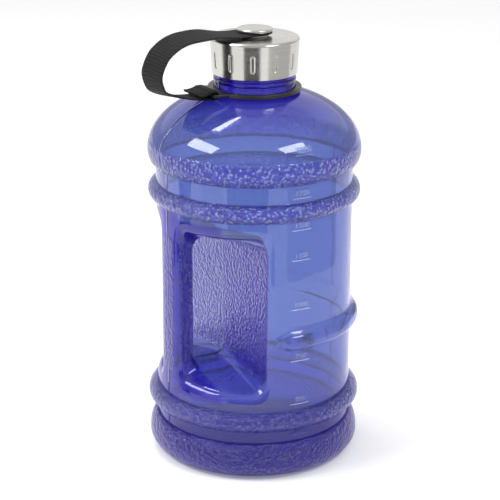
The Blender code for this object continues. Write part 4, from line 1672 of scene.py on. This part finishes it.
    def skin(self, bm: bmesh.types.BMesh, rows: list, lengths: list[float], uv: object) -> None:
        """Extrude the first cross-section through all the others.

        Args:
            bm: The mesh to add to.
            rows: The cross-sections.
            lengths: The distance of each section from the post.
            uv: The UV layer, filled in metres.
        """
        verts = [bm.verts.new(point) for point, _ in rows[0]]
        place = {vert: (lengths[0], rows[0][i][1], i) for i, vert in enumerate(verts)}
        edges = [bm.edges.new(pair) for pair in zip(verts, verts[1:] + verts[:1])]
        bm.faces.new(verts)
        for row, along in zip(rows[1:], lengths[1:]):
            fresh, edges = parted(bmesh.ops.extrude_edge_only(bm, edges=edges)["geom"])
            old = set(place)
            for vert in fresh:
                parent = next(e.other_vert(vert) for e in vert.link_edges if e.other_vert(vert) in old)
                index = place[parent][2]
                place[vert] = (along, row[index][1], index)
                vert.co = row[index][0]
        bm.faces.new(sorted(fresh, key=lambda vert: place[vert][2]))
        for face in bm.faces:
            for loop in face.loops:
                along, across, _ = place[loop.vert]
                loop[uv].uv = (along, across)

    def finish(self, bm: bmesh.types.BMesh, finishes: Finishes) -> bpy.types.Object:
        """Make the strap's object and punch its eyelet hole.

        Args:
            bm: The strap's mesh.
            finishes: The materials.

        Returns:
            The strap's object.
        """
        strap = finish_piece("tether_strap", bm, finishes.webbing, 60.0)
        depth = 2 * self.thickness
        plug = ring_profile(0.0, self.hole, self.level - depth, self.level + depth)
        punch = turned_piece("punch", plug, finishes.webbing, 48, 0.0)
        cut = strap.modifiers.new("hole", "BOOLEAN")
        cut.operation = "DIFFERENCE"
        cut.solver = "EXACT"
        cut.object = punch
        graph = bpy.context.evaluated_depsgraph_get()
        mesh = bpy.data.meshes.new_from_object(strap.evaluated_get(graph))
        strap.modifiers.remove(cut)
        strap.data = mesh
        bpy.data.objects.remove(punch)
        return strap

    def add_stitches(self, finishes: Finishes, stations: list) -> None:
        """Sew the tail down with three rows of stitches across the strap.

        Args:
            finishes: The materials.
            stations: The strap's stations.
        """
        bm = bmesh.new()
        total = stations[-1][2]
        for back in self.stitch_rows:
            point, normal, _ = min(stations, key=lambda item: abs(item[2] - (total - back)))
            for k in range(-4, 5):
                side = Vector((0, k * self.stitch_pitch, 0))
                place = point + normal * (self.thickness / 2 + self.stitch_lift) + side
                turn = Matrix.Translation(place) @ Matrix.Rotation(math.radians(90), 4, "X")
                made = bmesh.ops.create_uvsphere(bm, u_segments=10, v_segments=8, radius=1.0)["verts"]
                bmesh.ops.scale(bm, vec=self.stitch_size, verts=made)
                bmesh.ops.transform(bm, matrix=turn, verts=made)
        stitches = finish_piece("tail_stitches", bm, finishes.thread, 60.0)
        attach(stitches, "tether")


# ---------------------------------------------------------------- cap


@dataclass
class CapShell:
    """The drawn steel shell with twelve pressed flutes."""

    bottom: float = 0.2448
    top: float = 0.2669
    bottom_radius: float = 0.0262
    top_radius: float = 0.0273
    edge: float = 0.0016
    wall: float = 0.0005
    hole: float = 0.0030
    flutes: int = 12
    flute_half_width: float = 0.0016
    flute_span: Point = (0.2490, 0.2600)
    flute_depth: float = 0.00050
    flute_slope: float = 0.55
    first_flute: float = math.radians(57.5)
    steps: int = 480

    def build(self, finishes: Finishes) -> bpy.types.Object:
        """Build the shell.

        Args:
            finishes: The materials.

        Returns:
            The shell's object.
        """
        bm = bmesh.new()
        spin_profile(bm, self.profile(), self.steps, closed=True)
        for vert in bm.verts:
            x, y, z = vert.co
            if math.hypot(x, y) > self.bottom_radius - 0.0008 and z < self.top - self.edge:
                move_out(vert, -self.press(math.atan2(-y, -x), z))
        shell = finish_piece("cap", bm, finishes.steel, 40.0)
        wrap_uv(shell)
        return dress(shell, "cap", "brushed_stainless", "cap_shell")

    def profile(self) -> list[Point]:
        """Return the closed profile of the shell."""
        outer = self.skirt(0.0)
        inner = self.skirt(self.wall)
        lip = [(self.bottom_radius - self.wall / 2, self.bottom - 0.00012)]
        return lip + outer + inner[::-1]

    def skirt(self, inset: float) -> list[Point]:
        """Return the skirt, the rounded edge and the top moved inward.

        Args:
            inset: The distance inward.

        Returns:
            The (radius, height) points from the lower edge to the hole.
        """
        edge = self.edge - inset * 0.5
        corner = self.top_radius - inset - edge
        high = self.top - inset - edge
        low = self.bottom + 0.0001
        slope = (self.top_radius - self.bottom_radius) / (self.top - self.edge - self.bottom)
        points = [
            (self.bottom_radius - inset + slope * (h - self.bottom), h) for h in spread(low, high, 0.00035)
        ]
        points += arc((corner, high), (edge, edge), 0, 90, 8)
        points += [(r, self.top - inset) for r in spread(corner - 0.002, self.hole, 0.004)]
        points.append((self.hole, self.top - inset))
        return points

    def press(self, angle: float, height: float) -> float:
        """Return how deep a flute is pressed at a place.

        Args:
            angle: The angle from the grip's plane.
            height: The height.

        Returns:
            The depth.
        """
        gap = math.tau / self.flutes
        off = (angle - self.first_flute + gap / 2) % gap - gap / 2
        across = abs(off) * self.bottom_radius
        low = self.flute_span[0] + self.flute_half_width
        high = self.flute_span[1] - self.flute_half_width
        beyond = max(low - height, height - high, 0.0)
        away = math.hypot(across, beyond) / self.flute_half_width
        if away >= 1.0:
            return 0.0
        return self.flute_depth * eased((1.0 - away) / self.flute_slope)


@dataclass
class CapInside:
    """The threaded core, its seal and the fasteners on the cap's post."""

    bottom: float = 0.2452
    top: float = 0.2660
    plate: float = 0.2643
    core_wall_radius: float = 0.0252
    core_top_radius: float = 0.0263
    bore: float = 0.0242
    hole: float = 0.0030
    post: float = 0.0026
    seal_inner: float = 0.0175
    seal_thickness: float = 0.0015
    washer_radius: float = 0.0075
    washer_thickness: float = 0.0008
    nut_flats: float = 0.0080
    nut_height: float = 0.0032
    nut_edge: float = 0.0002
    clearance: float = 0.0003
    chamfer: float = 0.0012
    thread: Thread = field(default_factory=lambda: Thread(start=0.2496))

    def build(self, finishes: Finishes) -> None:
        """Build every inner piece.

        Args:
            finishes: The materials.
        """
        self.build_core(finishes)
        low = self.plate - self.clearance - self.seal_thickness
        seal = turned_piece(
            "seal", ring_profile(self.seal_inner, self.bore - self.clearance, low, low + self.seal_thickness),
            finishes.silicone, 96, 0.0003,
        )
        dress(seal, "cap", "clear_silicone", "cap_seal")
        high = self.plate - self.clearance
        washer = turned_piece(
            "nut_washer", ring_profile(self.hole, self.washer_radius, high - self.washer_thickness, high),
            finishes.plated, 64, 0.00015,
        )
        dress(washer, "cap", "plated_eyelet", "cap_washer")
        self.build_nut(finishes, high - self.washer_thickness - self.clearance)

    def build_core(self, finishes: Finishes) -> None:
        """Build the threaded core.

        Args:
            finishes: The materials.
        """
        wall = [(self.bore, height) for height in spread(self.plate, self.bottom, THREAD_STEP)]
        wall.append((self.bore, self.bottom))
        outside = [(self.core_wall_radius, self.bottom), (self.core_top_radius, self.top - self.chamfer)]
        outside += [(self.core_top_radius - self.chamfer, self.top)]
        outside += [(self.hole, self.top), (self.hole, self.plate)]
        bm = bmesh.new()
        spin_profile(bm, wall + outside, 144, closed=True)
        for vert in bm.verts:
            x, y, z = vert.co
            if abs(math.hypot(x, y) - self.bore) < NEAR and self.bottom + 1e-4 < z < self.plate - 1e-4:
                move_out(vert, -self.thread.swell(math.atan2(y, x) % math.tau, z))
        core = finish_piece("cap_core_moulding", bm, finishes.black, 40.0)
        dress(core, "cap", "black_polypropylene", "cap_core")

    def build_nut(self, finishes: Finishes, top: float) -> None:
        """Build the hexagonal nut with chamfered corners.

        Args:
            finishes: The materials.
            top: The height of its upper face.
        """
        bm = bmesh.new()
        corner = self.nut_flats / 2 / math.cos(math.radians(30))
        fill_plate(bm, [circle(corner, 6), circle(self.post + self.clearance, 36)], top - self.nut_height)
        thicken(bm, list(bm.faces), self.nut_height)
        bmesh.ops.recalc_face_normals(bm, faces=bm.faces)
        bevel_edges(bm, 50, self.nut_edge, 2, level_only=False)
        nut = finish_piece("lock_nut", bm, finishes.plated, 30.0)
        wrap_uv(nut)
        dress(nut, "cap", "plated_eyelet", "cap_nut")


@dataclass
class CapTop:
    """The button and its post, the strap's eyelet and the swivel washer."""

    button_radius: float = 0.0110
    button_bottom: float = 0.2701
    button_thickness: float = 0.0019
    post: float = 0.0026
    post_end: float = 0.2585
    washer: tuple[float, float, float] = (0.0080, 0.2672, 0.2679)
    eyelet: tuple[float, float, float] = (0.0038, 0.2683, 0.2697)
    hole: float = 0.0030

    def build(self, finishes: Finishes) -> None:
        """Build the pieces on top of the cap.

        Args:
            finishes: The materials.
        """
        top = self.button_bottom + self.button_thickness
        profile = [(0.0, self.post_end), (self.post, self.post_end), (self.post, self.button_bottom)]
        profile += [(self.button_radius - 0.0003, self.button_bottom)]
        profile += arc((self.button_radius - 0.0007, self.button_bottom + 0.0007), (0.0007, 0.0007), -40, 0, 4)
        profile += arc((self.button_radius - 0.0010, top - 0.0008), (0.0010, 0.0008), 0, 90, 6)
        profile += [(self.button_radius * s, top) for s in (0.7, 0.45, 0.2)]
        profile.append((0.0, top))
        bm = bmesh.new()
        spin_profile(bm, profile, 96, closed=False)
        button = finish_piece("cap_rivet_button", bm, finishes.satin, 35.0)
        wrap_uv(button)
        dress(button, "cap", "polished_stainless", "cap_button")
        outer, low, high = self.washer
        section = ring_profile(self.hole, outer, low, high)
        washer = turned_piece("swivel_ring", section, finishes.nylon, 64, 0.00015)
        dress(washer, "washer", "natural_nylon", "swivel_washer")
        outer, low, high = self.eyelet
        section = ring_profile(self.hole, outer, low, high)
        eyelet = turned_piece("eyelet_ring", section, finishes.plated, 48, 0.0001)
        dress(eyelet, "strap_end", "plated_eyelet", "strap_eyelet")


# ---------------------------------------------------------------- studio


@dataclass
class Studio:
    """The floor, the lights and the camera."""

    distance: float = 1.0802
    height: float = 0.4957
    look_height: float = 0.12958
    heading: float = math.radians(-30)
    focal_share: float = 1807.55 / 500
    shift: float = -0.0079
    roll: float = 0.0042
    card_distance: float = 0.42
    room_span: Point = (-0.1, 0.9)
    room_glow: Point = (0.50, 0.78)
    backdrop_glow: float = 1.0
    light_aim: float = 0.13

    def build(self, finishes: Finishes) -> None:
        """Build the studio.

        Args:
            finishes: The materials.
        """
        self.add_floor(finishes)
        self.add_camera()
        self.add_world()
        self.add_lights()
        self.add_cards()
        bpy.context.scene.view_settings.view_transform = "Standard"

    def add_cards(self) -> None:
        """Stand the cards that the steel cap reflects: two dark, two bright, a grey one and a high pale one."""
        self.card("card_dark_side", -82, 9, 0.03)
        self.card("card_dark_front", -7, 21, 0.03)
        self.card("card_bright_left", -46, 12, 1.25)
        self.card("card_bright_right", 26, 10, 1.35)
        self.card("card_grey_right", 70, 34, 0.62)
        self.card("card_back", 180, 55, 0.95, 0.30, 0.62)

    def card(
        self, name: str, azimuth: float, half_width: float, glow: float,
        low_edge: float = 0.0, high_edge: float = 0.20,
    ) -> None:
        """Stand one curved card that only mirrors see.

        Args:
            name: The card's name.
            azimuth: Degrees to the right of the camera.
            half_width: Half the angle that it covers, in degrees.
            glow: Its brightness.
            low_edge: The height of its lower edge.
            high_edge: The height of its upper edge.
        """
        shader = Shader(name)
        shader.set(
            Base_Color=(0.0, 0.0, 0.0), Roughness=1.0,
            Emission_Color=(1.0, 1.0, 1.0), Emission_Strength=glow,
        )
        bm = bmesh.new()
        first = self.towards(azimuth - half_width, 0.0) * self.card_distance
        low = bm.verts.new(first + Vector((0, 0, low_edge)))
        high = bm.verts.new(first + Vector((0, 0, high_edge)))
        bmesh.ops.spin(
            bm, geom=[low, high, bm.edges.new((low, high))], cent=(0, 0, 0), axis=(0, 0, 1),
            angle=math.radians(2 * half_width), steps=8, use_merge=False,
        )
        board = finish_piece(name, bm, shader.material)
        for ray in ("camera", "diffuse", "transmission", "shadow"):
            setattr(board, f"visible_{ray}", False)

    def add_floor(self, finishes: Finishes) -> None:
        """Lay the pale floor.

        Args:
            finishes: The materials.
        """
        bm = bmesh.new()
        bmesh.ops.create_circle(bm, cap_ends=True, segments=96, radius=6.0)
        bmesh.ops.translate(bm, vec=(0, 0, -0.0002), verts=bm.verts)
        floor = finish_piece("floor", bm, finishes.paper)

    def towards(self, azimuth: float, elevation: float) -> Vector:
        """Return a direction from the jug, with the azimuth measured from the camera's side.

        Args:
            azimuth: Degrees to the right of the camera.
            elevation: Degrees above the floor.

        Returns:
            The unit vector.
        """
        heading = self.heading + math.radians(azimuth)
        flat = math.cos(math.radians(elevation))
        rise = math.sin(math.radians(elevation))
        return Vector((math.sin(heading) * flat, -math.cos(heading) * flat, rise))

    def add_camera(self) -> None:
        """Place the camera and make it the scene's."""
        data = bpy.data.cameras.new("camera")
        data.sensor_width = 36.0
        data.lens = self.focal_share * data.sensor_width
        data.shift_x = self.shift
        data.clip_end = 50.0
        camera = bpy.data.objects.new("camera", data)
        bpy.context.scene.collection.objects.link(camera)
        place = Vector((
            self.distance * math.sin(self.heading), -self.distance * math.cos(self.heading), self.height,
        ))
        aim = Vector((0, 0, self.look_height))
        camera.matrix_world = look_from(place, aim) @ Matrix.Rotation(self.roll, 4, "Z")
        bpy.context.scene.camera = camera

    def add_world(self) -> None:
        """Light the room softly, with a white backdrop for what the camera sees directly."""
        world = bpy.data.worlds.new("studio")
        world.use_nodes = True
        bpy.context.scene.world = world
        nodes = Nodes(world.node_tree)
        height = nodes.parts(nodes.node("TexCoord").outputs["Generated"])["Z"]
        room = nodes.ramp(height, self.room_span, self.room_glow, "LINEAR")
        seen = nodes.node("LightPath").outputs["Is Camera Ray"]
        level = nodes.node("Mix", {"Factor": seen, 2: room, 3: self.backdrop_glow}).outputs[0]
        background = nodes.tree.nodes["Background"].inputs
        nodes.plug(background["Color"], (1.0, 1.0, 1.0))
        nodes.plug(background["Strength"], level)

    def add_lights(self) -> None:
        """Hang the softboxes."""
        self.softbox("left_box", -70, 42, 1.3, (0.70, 0.36), 8.5)
        self.softbox("right_box", 52, 46, 1.3, (0.55, 0.30), 5.5)
        self.softbox("top_box", -129, 67, 1.3, (0.56, 0.20), 4.5)

    def softbox(
        self, name: str, azimuth: float, elevation: float, distance: float, size: Point, power: float
    ) -> None:
        """Hang one softbox that faces the jug.

        Args:
            name: The light's name.
            azimuth: Degrees to the right of the camera.
            elevation: Degrees above the floor.
            distance: The distance from the jug's middle.
            size: Its width and height.
            power: Its power in watts.
        """
        data = bpy.data.lights.new(name, "AREA")
        data.shape = "RECTANGLE"
        data.size, data.size_y = size
        data.energy = power
        light = bpy.data.objects.new(name, data)
        bpy.context.scene.collection.objects.link(light)
        middle = Vector((0, 0, self.light_aim))
        place = middle + self.towards(azimuth, elevation) * distance
        light.matrix_world = look_from(place, middle)


def look_from(place: Vector, aim: Vector) -> Matrix:
    """Return the matrix of a camera or a light at a place that points at another."""
    return Matrix.Translation(place) @ (aim - place).to_track_quat("-Z", "Y").to_matrix().to_4x4()


def main() -> None:
    """Build the jug and its studio."""
    logging.basicConfig(level=logging.INFO, format="%(name)s %(message)s")
    finishes = Finishes()
    studio = Studio()
    builders: list[tuple[str, Callable[[], object]]] = [
        ("studio", lambda: studio.build(finishes)),
        ("jug", lambda: JugBody().build(finishes)),
        ("litre scale", lambda: LitreScale().build(finishes)),
        ("collar", lambda: NeckCollar().build(finishes)),
        ("cap shell", lambda: CapShell().build(finishes)),
        ("cap inside", lambda: CapInside().build(finishes)),
        ("cap top", lambda: CapTop().build(finishes)),
        ("tether strap", lambda: TetherStrap().build(finishes)),
    ]
    for name, build in builders:
        LOG.info("building the %s", name)
        build()


if __name__ == "__main__":
    main()
